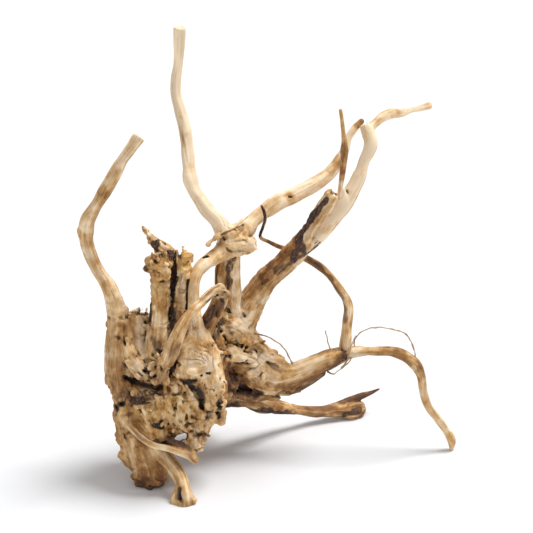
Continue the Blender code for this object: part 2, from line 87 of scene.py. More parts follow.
FINGER = [
    (71, 28, 268, 4.2), (74, 35, 272.5, 3.6), (78, 39, 275, 3.4), (84, 45, 278, 4),
    (91, 51, 279, 4), (99, 57, 278, 3.2), (108, 63, 279, 2.3), (115, 68, 279, 2.5),
    (123, 73, 280, 2.8),
]
UPRIGHT_TWIG = [
    (52, 13, 216, 2.7), (49, 8, 224, 2.3), (49, 5, 233, 2.1), (50, 3, 244, 2.5),
    (51, 2, 256, 2.9), (51, 2, 262, 3.3), (51, 3, 269, 2.3), (50, 4, 277, 1.7),
    (49, 6, 285, 1.5), (48, 9, 292, 1.4),
]
LOOP_BRANCH = [
    (55, 11, 88, 5), (55, 11, 94, 4.9), (56, 13, 104, 4.3), (57, 16, 115, 4),
    (58, 19, 124, 3.7), (56, 23, 131, 3.5), (51, 26, 138, 3.3), (46, 28, 145, 3),
    (39, 29, 153, 2.9), (30, 29, 160, 3), (18, 28, 167, 2.7), (7, 26, 173, 2.2),
    (0, 22, 177, 1.8), (-7, 15, 183, 1.5), (-14, 7, 190, 1.3), (-12, 3, 199, 1.3),
    (-10, 0, 207, 1.4), (-11, -2, 214, 1.3), (-13, -3, 219, 1),
]
RIGHT_ROOT = [
    (-24, 8, 80, 14.7), (-6, 10, 68, 12.7), (6, 11, 67, 11), (19, 11, 71, 10),
    (28, 11, 76, 9.6), (36, 11, 80, 8.8), (45, 11, 84, 7.6), (53, 11, 87, 6.5),
    (60, 11, 89, 5), (69, 11, 90, 4.1), (80, 11, 90, 3.9), (91, 11, 90, 4),
    (100, 11, 88, 4.3), (108, 11, 83, 4.3), (114, 11, 77, 4.7), (118, 11, 68, 3.9),
    (120, 11, 56, 3.4), (123, 11, 45, 3.6), (127, 11, 37, 3.3), (134, 11, 28, 3.2),
    (140, 11, 19, 3), (144, 11, 13, 3.6), (146, 11, 7, 3.1), (146, 11, 1, 1.8),
    (146, 11, -3, 1.8),
]
LOW_ROOT = [
    (-66, -2, 64, 11), (-50, 10, 50, 9), (-34, 19, 43, 6.5), (-23, 25, 40, 7), (-13, 31, 33, 7.6),
    (-3, 38, 28, 6.4), (9, 47, 21, 4.7), (22, 55, 16, 4.1), (34, 62, 11, 5),
    (46, 67, 9.5, 5.2), (57, 71, 8, 6), (65, 74, 6.5, 7.2), (71, 77, 6.5, 6.8),
]
LOW_SPIKE = [
    (48, 69, 10, 4), (62, 76, 14, 3.5), (73, 80, 17, 2.9), (82, 83, 19, 2), (90, 85, 22, 0.8),
]
FRONT_FOOT = [
    (-102, -38, 38, 9), (-95, -47, 32, 8), (-89, -53, 27, 6.7), (-82, -62, 22, 6),
    (-76, -70, 16, 5.5), (-74, -75, 9, 6), (-73, -78, 4, 7), (-73, -79, -4, 8),
]
FRONT_WHIP = [
    (-120, -45, 60, 4), (-119, -55, 60, 3.3), (-115, -60, 56, 2.6), (-106, -65, 49, 2.4),
    (-97, -67, 44, 2.5), (-85, -68, 41.5, 2.6), (-75, -67, 37, 2.7), (-68, -66, 34, 2.9),
    (-65, -65, 29.5, 3),
]
STRAP = [
    (-96, -41, 84, 4.5), (-92, -51, 94, 4.8), (-88, -61, 106, 5), (-82, -68, 121, 5.5),
    (-77, -69, 135, 5.1), (-71, -66, 147, 4.3), (-64, -61, 155, 3.8), (-57, -55, 160, 3.7),
    (-50, -49, 164.5, 3.6), (-43.5, -43, 162, 3.6), (-42, -37, 154, 3.3), (-46, -33, 144, 3.5),
    (-51, -29, 132, 3.5), (-56, -24, 118, 3.9), (-58, -17, 107, 4),
]
STRAP_WEB = [
    (-47, -43, 160, 3), (-49.5, -41, 151, 3.4), (-53, -37.5, 142, 3.9), (-57, -32.5, 133, 3.9),
    (-58, -30, 127, 3.3),
]
WHIP_BACK = [
    (-66, -65, 32, 2.6), (-70, -64.5, 38.5, 2.7), (-77, -64, 43, 2.8), (-84, -63, 45.5, 2.4),
]
RISER = [
    (-62, -46, 112, 8.5), (-63, -43, 134, 5.8), (-65, -37, 149, 4.6), (-65, -33, 163, 4.4),
    (-63, -28, 172, 4.8), (-57, -22, 178, 5.6), (-49, -15, 181, 6.2), (-38, -6, 187, 7.5),
]
POST = [
    (-38, 13, 105, 11), (-37, 11, 132, 8), (-37, 9, 149, 7.2), (-37, 7, 164, 6.8),
    (-36, 3, 178, 6.6), (-36, -3, 189, 6.6),
]
BARK_RIB = [(-43, 2, 173, 4.2), (-45, 1, 165, 4.8), (-46, 2, 153, 4.6), (-46, 3, 142, 3.4)]
ROOTLETS = {
    "rootlet_arch": [
        (63, 11, 89, 0.7), (63, 11, 99, 0.6), (67, 11, 106, 0.6), (75, 11, 110, 0.6),
        (86, 11, 111, 0.6), (95, 11, 109, 0.6), (104, 11, 105, 0.6), (109, 11, 98, 0.6),
        (112, 11, 90, 0.6), (113, 11, 82, 0.7),
    ],
    "rootlet_front": [
        (-22, 12, 105, 0.8), (-13, 10, 105, 0.6), (-5, 9, 102, 0.6), (2, 9, 97, 0.6),
        (7, 9, 90, 0.6), (11, 10, 82, 0.7), (13, 11, 76, 0.7),
    ],
    "rootlet_hook": [
        (62, 9, 87, 0.7), (58, 4, 84, 0.6), (51, 2, 78, 0.6), (46, 4, 73, 0.6), (41, 8, 73, 0.7),
    ],
    "rootlet_stray": [(44, 11, 90, 0.7), (42, 11, 96, 0.5), (40, 11, 103, 0.4), (39, 11, 108, 0.4)],
}

SIDE_ROOTLETS = {
    "rootlet_hook": [[
        (52, 8, 76.3, 0.7), (56.6, 5, 84.7, 0.8), (58.8, 4, 94, 0.7), (61.4, 8, 100, 0.6),
        (64, 11, 104, 0.5),
    ]],
}

# The strands that have grown together into the masses.
CROWN = {
    "flank": [(-124, -31, 138, 8.4), (-125, -34, 123, 9), (-126, -37, 107, 9.4), (-126, -39, 93, 9.4),
              (-123, -41, 78, 8.5)],
    "bowl_lip": [(-118, -25, 130, 6), (-118, -39, 117, 5.8), (-113, -48, 106, 5.2), (-107, -52, 99, 4.2),
                 (-99, -51, 93, 3.4)],
    "bowl_back": [(-122, -17, 127, 6.3), (-113, -7, 124, 6.4), (-104, -1, 122, 6.4), (-93, 3, 120, 6)],
    "bowl_floor": [(-112, -9, 117, 8.8), (-108, -17, 106, 10.3), (-103, -29, 96, 11)],
    "bowl_bed": [(-121, -32, 104, 8), (-114, -34, 94, 9.5), (-104, -38, 90, 10)],
    "bowl_face": [(-113, -17, 126, 6.5), (-109, -29, 115, 8), (-105, -38, 103, 8.5), (-100, -43, 94, 8)],
    "bowl_wall": [(-119, -20, 114, 7), (-110, -16, 108, 9), (-99, -16, 108, 9)],
    "knob": [(-62, -46, 124, 9), (-60, -48, 116, 12.4), (-57, -48, 99, 14), (-54, -46, 83, 12),
             (-49, -41, 67, 8), (-45, -39, 51, 4)],
    "knob_left": [(-68, -51, 116, 10), (-68, -53, 100, 10.8), (-64, -51, 87, 8.6)],
    "lower_left": [(-121, -39, 77, 8.7), (-118, -43, 63, 9.5), (-115, -47, 49, 10.7), (-109, -47, 31, 12),
                   (-104, -45, 14, 12.8), (-102, -43, 1, 13), (-101, -42, -11, 12)],
    "left_edge": [(-124, -40, 68, 5), (-124, -44, 52, 5), (-121, -46, 35, 5), (-117, -45, 18, 5)],
    "lower_mid": [(-104, -39, 80, 15), (-99, -43, 66, 16.6), (-96, -45, 52, 15), (-93, -45, 37, 10.3)],
    "lower_right": [(-80, -41, 84, 15), (-77, -43, 68, 15.8), (-74, -43, 52, 14.2), (-70, -41, 38, 8.8)],
    "lower_fringe": [(-57, -41, 74, 11.8), (-59, -41, 57, 10.7), (-62, -39, 42, 6.4), (-65, -37, 29, 3.6)],
    "core_low": [(-85, -13, 100, 20), (-86, -21, 79, 25.6), (-89, -27, 59, 24), (-94, -33, 40, 16)],
    "core_high": [(-57, -9, 105, 14.4), (-58, -9, 89, 17.7), (-55, -7, 71, 18.6)],
    "back_burl": [(-42, 7, 93, 14.6), (-29, 17, 78, 16.5), (-18, 17, 71, 14)],
    "burl_skirt": [(-40, 12, 72, 10), (-28, 16, 64, 10), (-16, 15, 60, 8.5), (-6, 13, 58, 6.5)],
    "burl_top": [(-46, -1, 121, 8), (-35, 11, 109, 13), (-25, 21, 94, 11.5), (-13, 23, 82, 8.3),
                 (2, 19, 76, 6.6)],
    "heel": [(-103, -1, 101, 10.5), (-105, -3, 75, 11.4), (-106, -11, 53, 11.4), (-105, -25, 36, 10.5),
             (-103, -35, 22, 9.6), (-103, -37, 7, 8)],
    "back_rib": [(-67, 25, 89, 10.7), (-73, 33, 63, 14.2), (-78, 27, 40, 14.3), (-83, 9, 25, 11.6)],
    "back_rib_2": [(-43, 33, 87, 10.8), (-48, 41, 58, 12.7), (-55, 33, 39, 11)],
}
STUMP = {
    "stump_left": [(-91, -29, 177, 6.6), (-91, -31, 160, 6.6), (-92, -33, 139, 7), (-94, -37, 122, 7.8),
                   (-96, -41, 107, 7)],
    "stump_right": [(-73, -25, 182, 5.4), (-75, -27, 166, 5.4), (-76, -29, 150, 5.8), (-79, -33, 135, 6.2),
                    (-82, -39, 119, 6.6), (-84, -44, 106, 6.6)],
    "stump_back": [(-83, -15, 177, 7.8), (-84, -15, 153, 8.6), (-85, -15, 128, 10.3),
                   (-87, -17, 105, 13.5)],
    "rim": [(-98, -31, 183, 3.8), (-91, -33, 186, 4), (-84, -31, 182, 3.8)],
    "side_knob": [(-94, -32, 177, 4), (-102, -34, 178, 2.4)],
    "horn": [(-73, -26, 177, 5), (-70, -25, 185, 3.8), (-73, -24, 192, 1.6)],
    "shard": [(-85, -23, 181, 6), (-90, -23, 189, 5), (-97, -22, 198, 3.4), (-104, -21, 208, 1.2)],
}
KNUCKLE = {
    "ball": [(-41, -9, 185, 7.5), (-37, -6, 190, 9.4), (-30, -1, 193, 8.8), (-24, 4, 198, 7)],
    "cut_stub": [(-36, -7, 188, 7.8), (-27, -9, 188, 6.8), (-20, -10, 190, 5.6)],
    "flake": [(-36, -10, 199, 3.4), (-47, -15, 198, 2.6), (-54, -17, 192, 1.6)],
}

# Where each piece is split from its neighbour: the route, the reach along it from its start or
# from its end, as in the part. The crown and the stump part at a level plane. Each skin runs on by
# the overlap in mm, so that no gap shows.
STUMP_SPLIT_Z = 133.0
OVERLAP = 2.4
SPLITS = {
    "left_branch": (LEFT_BRANCH, 14.0, False), "riser_foot": (RISER, 26.0, False),
    "strap_foot": (STRAP, 26.0, False), "strap_end": (STRAP, 16.0, True),
    "post_foot": (POST, 35.0, False), "trunk_foot": (DIAGONAL_TRUNK, 44.0, False),
    "right_root": (RIGHT_ROOT, 26.0, False), "low_root": (LOW_ROOT, 46.0, False),
    "front_foot": (FRONT_FOOT, 17.0, False), "front_whip": (FRONT_WHIP, 12.0, False),
    "riser_top": (RISER, 20.0, True), "post_top": (POST, 13.0, True),
    "tall_branch": (TALL_BRANCH, 16.0, False), "upper_arm": (UPPER_ARM, 15.0, False),
    "smooth_arm": (SMOOTH_ARM, 24.0, False),
}

# How much the thickness of every root comes and goes, as a share of its radius.
SWELL = 0.05

# The large odd numbers that scatter the noise, one for each direction and one for the sum.
SCATTER = (374761393, 668265263, 1442695041)
SCATTER_SUM = 1274126177

CORNERS = [(i, j, k) for i in (0, 1) for j in (0, 1) for k in (0, 1)]

# How deep in mm the crown's and the stump's skin is broken up, and the reach from a free root's fork
# within which it is whole and beyond which it is fully broken up, in radii of that root.
BREAK_DEPTH = 3.2
WHOLE_TO, BROKEN_FROM = 0.7, 1.8

# Where no strand is near, the wood is put this many mm away, and past the second distance all air
# counts as open.
FAR = 99.0
OPEN_AIR = 8.0

# A grid reaches so many mm past its strands and below the ground.
ROOM_ROUND, ROOM_BELOW = 4.0, 2.0

# Strands grown into a free root widen it by no more than the sleeve in mm. The sleeve's own strands
# join over the second distance.
SLEEVE, SLEEVE_BLEND = 2.0, 0.5

# How softly the smaller forms join in mm, and how far apart the pixels are that follow a mark.
FORM_BLEND = 1.6
MARK_STEP = 1.5

# How far in mm at most the skin is pulled back after it is smoothed, and how far out the places are
# where shade is looked for.
PULL = 0.6
SHADE_REACHES = (1.2, 2.6, 5.0)

# Painted shade is found after the hollows are cut, so that it lies on their floors, and all other marks
# before.
SKIN_MARKS = ("smooth", "rough", "pale", "dark", "bark_and_shade", "golden", "wrinkled")
FLOOR_MARKS = ("painted_shade",)

# A mark is full up to the first share of its radius, gone by the second, and its edge wanders by the
# third.
MARK_FULL, MARK_GONE, MARK_WANDER = 0.45, 1.25, 0.35

# How far in mm each kind of fine relief stands out or cuts in on a root of the full thickness.
LUMP, RIDGE, THREAD, SPLIT, CRUMB, WRINKLE = 0.9, 0.5, 0.24, 1.1, 0.8, 0.85
FULL_THICKNESS = 9.0

# The grain of each root starts this many mm on from the one before. So many points are worked out at
# a time, to save memory.
GRAIN_SHIFT = 31.0
BATCH = 20000

THREAD_SIDES = 8


def smooth_route(route, step=2.0):
    """Points about a step apart on the curve through a route, with their radii, in mm."""
    points = np.array(route, float)
    gaps = np.maximum(np.linalg.norm(np.diff(points[:, :3], axis=0), axis=1), 1e-6)
    at = np.concatenate([[0.0], np.cumsum(gaps)])
    slopes = np.zeros_like(points)
    for i in range(len(points)):
        before, after = max(i - 1, 0), min(i + 1, len(points) - 1)
        slopes[i] = (points[after] - points[before]) / (at[after] - at[before])
    rows = []
    for i in range(len(points) - 1):
        run = at[i + 1] - at[i]
        count = max(2, int(round(run / step)))
        t = (np.arange(count) / count)[:, None]
        rows.append(
            (2 * t**3 - 3 * t**2 + 1) * points[i] + (t**3 - 2 * t**2 + t) * run * slopes[i]
            + (3 * t**2 - 2 * t**3) * points[i + 1] + (t**3 - t**2) * run * slopes[i + 1]
        )
    rows.append(points[-1:])
    path = np.concatenate(rows)
    path[:, 3] *= 1 + SWELL * noise(path[:, :3], (8, 8, 8), 31)
    return path


def lengths_along(path):
    """The distance in mm from a path's start to each of its points."""
    return np.concatenate([[0.0], np.cumsum(np.linalg.norm(np.diff(path[:, :3], axis=0), axis=1))])


def part_way(path, reach):
    """The path's point, radius and direction at a reach in mm from its start."""
    at = lengths_along(path)
    here = np.array([np.interp(reach, at, path[:, k]) for k in range(4)])
    past = np.array([np.interp(reach + 2.0, at, path[:, k]) for k in range(4)])
    direction = past[:3] - here[:3]
    return here, direction / np.linalg.norm(direction)


def split_path(name):
    """The free root of a split, from its mass outwards, and the split's reach along it."""
    route, reach, from_end = SPLITS[name]
    path = smooth_route(route)
    return path[::-1] if from_end else path, reach


def split_plane(name):
    """The point and the outward direction of a split."""
    here, direction = part_way(*split_path(name))
    return here[:3], direction


def stub(name, past=6.0):
    """The strand of a free root that its mass keeps, cut off a little past the split."""
    path, reach = split_path(name)
    point, direction = split_plane(name)
    return path[lengths_along(path) < reach + past], (point + direction * OVERLAP, direction)


def ray(u, v):
    """The direction from the eye through a pixel of the photograph."""
    middle = VIEW_SIZE / 2
    way = FORWARD + (u - middle) / SHARP * RIGHTWARD - (v - middle) / SHARP * UPWARD
    return way / np.linalg.norm(way)


def placed(pixels):
    """A route in mm from (u, v, y in mm, radius in mm): where the ray through a pixel is at y."""
    route = []
    for u, v, y, radius in pixels:
        way = ray(u, v)
        route.append((*(EYE + way * (y - EYE[1]) / way[1]), radius))
    return route


def pixel_of(points):
    """The photograph's pixel that shows each point."""
    off = points - EYE
    depth = off @ FORWARD
    return VIEW_SIZE / 2 + SHARP * off[:, 0] / depth, VIEW_SIZE / 2 - SHARP * (off @ UPWARD) / depth


def between_corners(value, f):
    """A value between a cell's eight corners, f being how far across the cell each point lies."""
    total = 0.0
    for corner in CORNERS:
        weight = 1.0
        for k in range(3):
            weight = weight * (f[:, k] if corner[k] else 1 - f[:, k])
        total = total + weight * value(*corner)
    return total


def noise(points, size, seed=0):
    """Smooth noise, mostly from -1 to 1, with lumps of about the given size in mm."""
    p = points / np.asarray(size, float) + seed * 17.31
    cell = np.floor(p).astype(np.int64)
    f = p - cell
    f = f * f * f * (f * (f * 6 - 15) + 10)

    def scattered(*corner):
        """A number from -1 to 1 that seems random, for one corner of each cell."""
        h = sum((cell[:, k] + corner[k]) * SCATTER[k] for k in range(3))
        h = ((h ^ (h >> 13)) * SCATTER_SUM) & 0xFFFFFFFF
        return ((h ^ (h >> 16)) & 0xFFFF) / 32767.5 - 1

    return between_corners(scattered, f) * 1.6


def smooth_least(a, b, blend):
    """The lesser of two distances, with a rounded valley where they meet."""
    h = np.clip(0.5 + 0.5 * (b - a) / blend, 0, 1)
    return b + (a - b) * h - blend * h * (1 - h)


def past_plane(block_axes, plane):
    """How far in mm each node of a block lies past a plane."""
    point, direction = plane
    x = (block_axes[0] - point[0])[:, None, None] * direction[0]
    y = (block_axes[1] - point[1])[None, :, None] * direction[1]
    z = (block_axes[2] - point[2])[None, None, :] * direction[2]
    return (x + y + z).astype(np.float32)


class Block:
    """Distances in mm to the wood's skin on a grid, negative inside the wood."""

    def __init__(self, low, high, cell):
        self.low, self.cell = np.asarray(low, float), cell
        counts = [int(math.ceil((high[k] - low[k]) / cell)) + 1 for k in range(3)]
        self.axes = [(low[k] + cell * np.arange(counts[k])).astype(np.float32) for k in range(3)]
        self.field = np.full(counts, FAR, np.float32)

    def distances(self, path, room):
        """The distance to one strand in the part of the grid that it reaches."""
        path = np.asarray(path, np.float32)
        reach = path[:, 3] + room
        first = [max(0, np.searchsorted(self.axes[k], (path[:, k] - reach).min())) for k in range(3)]
        last = [np.searchsorted(self.axes[k], (path[:, k] + reach).max()) for k in range(3)]
        if any(first[k] >= last[k] for k in range(3)):
            return None, None
        near = np.full([last[k] - first[k] for k in range(3)], FAR, np.float32)
        for a, b in zip(path[:-1], path[1:]):
            span = max(a[3], b[3]) + room
            spans = []
            for k in range(3):
                start = np.searchsorted(self.axes[k], min(a[k], b[k]) - span)
                stop = np.searchsorted(self.axes[k], max(a[k], b[k]) + span)
                spans.append((max(start, first[k]), min(stop, last[k])))
            if any(start >= stop for start, stop in spans):
                continue
            x = self.axes[0][spans[0][0]:spans[0][1], None, None] - a[0]
            y = self.axes[1][None, spans[1][0]:spans[1][1], None] - a[1]
            z = self.axes[2][None, None, spans[2][0]:spans[2][1]] - a[2]
            d = b[:3] - a[:3]
            t = np.clip((x * d[0] + y * d[1] + z * d[2]) / max(float(d @ d), 1e-6), 0, 1)
            gap = np.sqrt((x - t * d[0]) ** 2 + (y - t * d[1]) ** 2 + (z - t * d[2]) ** 2)
            gap -= a[3] + t * (b[3] - a[3])
            part = tuple(slice(spans[k][0] - first[k], spans[k][1] - first[k]) for k in range(3))
            np.minimum(near[part], gap, out=near[part])
        return near, tuple(slice(first[k], last[k]) for k in range(3))

    def grow(self, path, blend, plane=None, hollow=False):
        """Adds one strand, or takes it away as a hollow, with a soft edge over the blend in mm."""
        near, part = self.distances(path, blend + 5.0)
        if near is None:
            return
        if plane is not None:
            here = [self.axes[k][part[k]] for k in range(3)]
            near = np.maximum(near, past_plane(here, plane))
        if hollow:
            self.field[part] = -smooth_least(-self.field[part], near, blend)
        else:
            self.field[part] = smooth_least(self.field[part], near, blend)

    def roughen(self, amount, depth):
        """Breaks up the skin with lumps, ledges and pits up to a depth in mm. The amount, from 0 to
        1, is a function of place."""
        spots = np.argwhere(np.abs(self.field) < depth + 2.0)
        points = self.low + spots * self.cell
        much = amount(points)
        kept = much > 0.02
        spots, points, much = spots[kept], points[kept], much[kept]
        drift = np.stack([noise(points, (10, 10, 10), seed) for seed in (24, 25, 26)], axis=1)
        lumps = np.abs(noise(points + drift * 3.0, (9, 9, 7.5), 21)) * 1.7 - 0.6
        crumbs = np.abs(noise(points + drift * 2.0, (4.6, 4.6, 4.0), 22)) * 1.7 - 0.6
        pits = step_up(noise(points, (4.2, 4.2, 3.8), 23), 0.6, 1.0)
        rise = 0.75 * lumps + 0.35 * crumbs - 1.3 * pits
        self.field[spots[:, 0], spots[:, 1], spots[:, 2]] -= (rise * depth * much).astype(np.float32)

    def snap(self, plane, jag):
        """Takes off all that lies past a plane, as a broken end with teeth of about jag mm."""
        past = past_plane(self.axes, plane)
        spots = np.argwhere((np.abs(past) < jag * 3) & (self.field < 2.0))
        teeth = noise(self.low + spots * self.cell, (2.6, 2.6, 2.6), 27) * jag
        past[spots[:, 0], spots[:, 1], spots[:, 2]] += teeth.astype(np.float32)
        np.maximum(self.field, past, out=self.field)

    def clip(self, plane):
        """Takes off all that lies past a plane."""
        np.maximum(self.field, past_plane(self.axes, plane), out=self.field)

    def at(self, points):
        """The distance at points between the grid's nodes."""
        p = (points - self.low) / self.cell
        i = np.clip(np.floor(p).astype(np.int64), 0, np.array(self.field.shape) - 2)
        f = np.clip(p - i, 0, 1)
        x, y, z = i.T
        return between_corners(lambda a, b, c: self.field[x + a, y + b, z + c], f)

    def outwards(self, points):
        """The direction out of the wood at points on its skin."""
        rows = []
        for k in range(3):
            step = np.zeros(3)
            step[k] = self.cell
            rows.append(self.at(points + step) - self.at(points - step))
        out = np.stack(rows, axis=1)
        return out / np.maximum(np.linalg.norm(out, axis=1), 1e-6)[:, None]

    def seen_at(self, u, v):
        """The point of this block's wood that a pixel of the photograph shows, or None."""
        way = ray(u, v)
        top = self.low + self.cell * (np.array(self.field.shape) - 1)
        with np.errstate(divide="ignore"):
            a, b = (self.low - EYE) / way, (top - EYE) / way
        near, far = np.minimum(a, b).max(), np.maximum(a, b).min()
        if far <= near:
            return None
        at = np.arange(near, far, 0.3)
        values = self.at(EYE + way * at[:, None])
        hits = np.nonzero(values < 0)[0]
        return EYE + way * at[hits[0]] if len(hits) else None

    def laid_on(self, pixels, sink):
        """A path over the wood under pixels (u, v, radius in mm), sunk in by a share of the radius."""
        route = []
        for u, v, radius in pixels:
            spot = self.seen_at(u, v)
            if spot is not None:
                route.append((*(spot + ray(u, v) * radius * sink), radius))
        if len(route) < 2:
            return None
        return smooth_route(route, 1.5)

    def skin(self):
        """Quads round the wood, with a vertex in each cell that its skin crosses."""
        field, inside = self.field, self.field < 0
        mixed = np.zeros([n - 1 for n in field.shape], np.int8)
        for i, j, k in CORNERS:
            mixed += inside[i:i + mixed.shape[0], j:j + mixed.shape[1], k:k + mixed.shape[2]]
        cells = np.argwhere((mixed > 0) & (mixed < 8))
        index = np.full(mixed.shape, -1, np.int64)
        index[cells[:, 0], cells[:, 1], cells[:, 2]] = np.arange(len(cells))
        total, hits = np.zeros((len(cells), 3)), np.zeros(len(cells))
        for corner in CORNERS:
            for k in range(3):
                if corner[k]:
                    continue
                a = cells + corner
                b = a.copy()
                b[:, k] += 1
                va = field[a[:, 0], a[:, 1], a[:, 2]]
                vb = field[b[:, 0], b[:, 1], b[:, 2]]
                crossed = (va < 0) != (vb < 0)
                t = np.where(crossed, va / np.where(crossed, va - vb, 1.0), 0.0)
                spot = np.array(corner, float) + np.zeros((len(cells), 3))
                spot[:, k] += t
                total += spot * crossed[:, None]
                hits += crossed
        points = self.low + (cells + total / hits[:, None]) * self.cell
        faces = []
        for k in range(3):
            here, there = [slice(1, -1)] * 3, [slice(1, -1)] * 3
            here[k], there[k] = slice(0, -1), slice(1, None)
            a, b = inside[tuple(here)], inside[tuple(there)]
            for leaving in (True, False):
                found = np.argwhere(a & ~b if leaving else ~a & b)
                found += [0 if k == m else 1 for m in range(3)]
                m, n = (k + 1) % 3, (k + 2) % 3
                ring = []
                for dm, dn in ((0, 0), (1, 0), (1, 1), (0, 1)):
                    c = found.copy()
                    c[:, m] -= dm
                    c[:, n] -= dn
                    ring.append(index[c[:, 0], c[:, 1], c[:, 2]])
                faces.append(np.stack(ring if leaving else ring[::-1], axis=1))
        return points, np.concatenate(faces)


def relaxed(points, faces, share=0.5):
    """Each vertex moved a share of the way to the middle of its neighbours."""
    total, count = np.zeros_like(points), np.zeros(len(points))
    for a in range(4):
        for b in ((a + 1) % 4, (a + 3) % 4):
            for k in range(3):
                total[:, k] += np.bincount(faces[:, a], points[faces[:, b], k], len(points))
            count += np.bincount(faces[:, a], minlength=len(points))
    return points + (total / np.maximum(count, 1)[:, None] - points) * share


def frames_along(path):
    """The tangent and two crosswise directions at each point of a path, with no sudden turn."""
    tangents = np.gradient(path[:, :3], axis=0)
    tangents /= np.maximum(np.linalg.norm(tangents, axis=1), 1e-9)[:, None]
    side = np.array(Vector(tangents[0]).orthogonal().normalized())
    sides, others = [], []
    for tangent in tangents:
        side = side - tangent * (side @ tangent)
        side = side / np.linalg.norm(side)
        sides.append(side)
        others.append(np.cross(tangent, side))
    return tangents, np.array(sides), np.array(others)


def grain_map(names, points):
    """For each point: its place in its nearest root and in the next one (across, across, along, in
    mm), the nearest root's radius, its share in that root's grain, from 0.5 to 1, and which two
    roots they are."""
    samples, starts, count = [], [], 0
    for name in names:
        path = smooth_route(SHAPES[name])
        tangents, sides, others = frames_along(path)
        along = lengths_along(path)[:, None] + GRAIN_SHIFT * ORDER.index(name)
        samples.append(np.concatenate([path, along, tangents, sides, others], axis=1))
        starts.append(count)
        count += len(path)
    table = np.concatenate(samples)
    starts = np.array(starts)
    owner = np.repeat(np.arange(len(starts)), np.diff(np.append(starts, count)))
    centres, radii = table[:, :3].astype(np.float32), table[:, 3].astype(np.float32)
    grain, beside = np.zeros((len(points), 3)), np.zeros((len(points), 3))
    size, share = np.zeros(len(points)), np.ones(len(points))
    roots = np.zeros((len(points), 2), np.int64)

    def place_in(p, i):
        """Grain coordinates and radius beside a root's sample i, smoothed along the root."""
        ahead = ((p - table[i, :3]) * table[i, 5:8]).sum(1)
        j = np.clip(i + np.where(ahead > 0, 1, -1), 0, count - 1)
        j = np.where(owner[j] == owner[i], j, i)
        back = ((p - table[j, :3]) * table[j, 5:8]).sum(1)
        span = np.where(np.abs(ahead - back) < 1e-5, 1e-5, ahead - back)
        t = np.where(i == j, 0.0, np.clip(ahead / span, 0, 1))
        row = table[i] + (table[j] - table[i]) * t[:, None]
        off = p - row[:, :3]
        along = np.where(i == j, table[i, 4] + ahead, row[:, 4])
        across = [(off * row[:, 8:11]).sum(1), (off * row[:, 11:14]).sum(1)]
        return np.stack([*across, along], axis=1), row[:, 3]

    for begin in range(0, len(points), BATCH):
        p = points[begin:begin + BATCH].astype(np.float32)
        rows = np.arange(len(p))
        gap = (p**2).sum(1)[:, None] + (centres**2).sum(1)[None, :] - 2 * p @ centres.T
        gap = np.sqrt(np.maximum(gap, 0)) - radii[None, :]
        i = gap.argmin(axis=1)
        best = gap[rows, i].copy()
        grain[begin + rows], size[begin + rows] = place_in(p, i)
        beside[begin + rows] = grain[begin + rows]
        roots[begin + rows] = owner[i][:, None]
        if len(starts) > 1:
            gap[owner[i][:, None] == owner[None, :]] = np.inf
            n = gap.argmin(axis=1)
            beside[begin + rows], _ = place_in(p, n)
            share[begin + rows] = 0.5 + 0.5 * np.clip((gap[rows, n] - best) / 5.0, 0, 1)
            roots[begin + rows, 1] = owner[n]
    return grain, beside, size, share, roots


def step_up(value, low, high):
    """0 below low, 1 above high, and a soft rise between them."""
    t = np.clip((value - low) / (high - low), 0, 1)
    return t * t * (3 - 2 * t)


def linear(code):
    """An sRGB hex colour as linear values for a shader."""
    values = [int(code[i:i + 2], 16) / 255 for i in (1, 3, 5)]
    return (*[v / 12.92 if v <= 0.04045 else ((v + 0.055) / 1.055) ** 2.4 for v in values], 1.0)


def add(tree, kind, inputs=None, stops=(), **settings):
    """Adds a node with its settings, colour stops and inputs. An input is a value, a socket or a
    node, whose first output is linked."""
    made = tree.nodes.new(kind)
    for name, value in settings.items():
        setattr(made, name, value)
    for key, value in (inputs or {}).items():
        if isinstance(value, bpy.types.Node):
            value = value.outputs[0]
        if isinstance(value, bpy.types.NodeSocket):
            tree.links.new(value, made.inputs[key])
        else:
            made.inputs[key].default_value = value
    for i, (place, code) in enumerate(stops):
        points = made.color_ramp.elements
        point = points[i] if i < len(points) else points.new(place)
        point.position, point.color = place, linear(code)
    return made


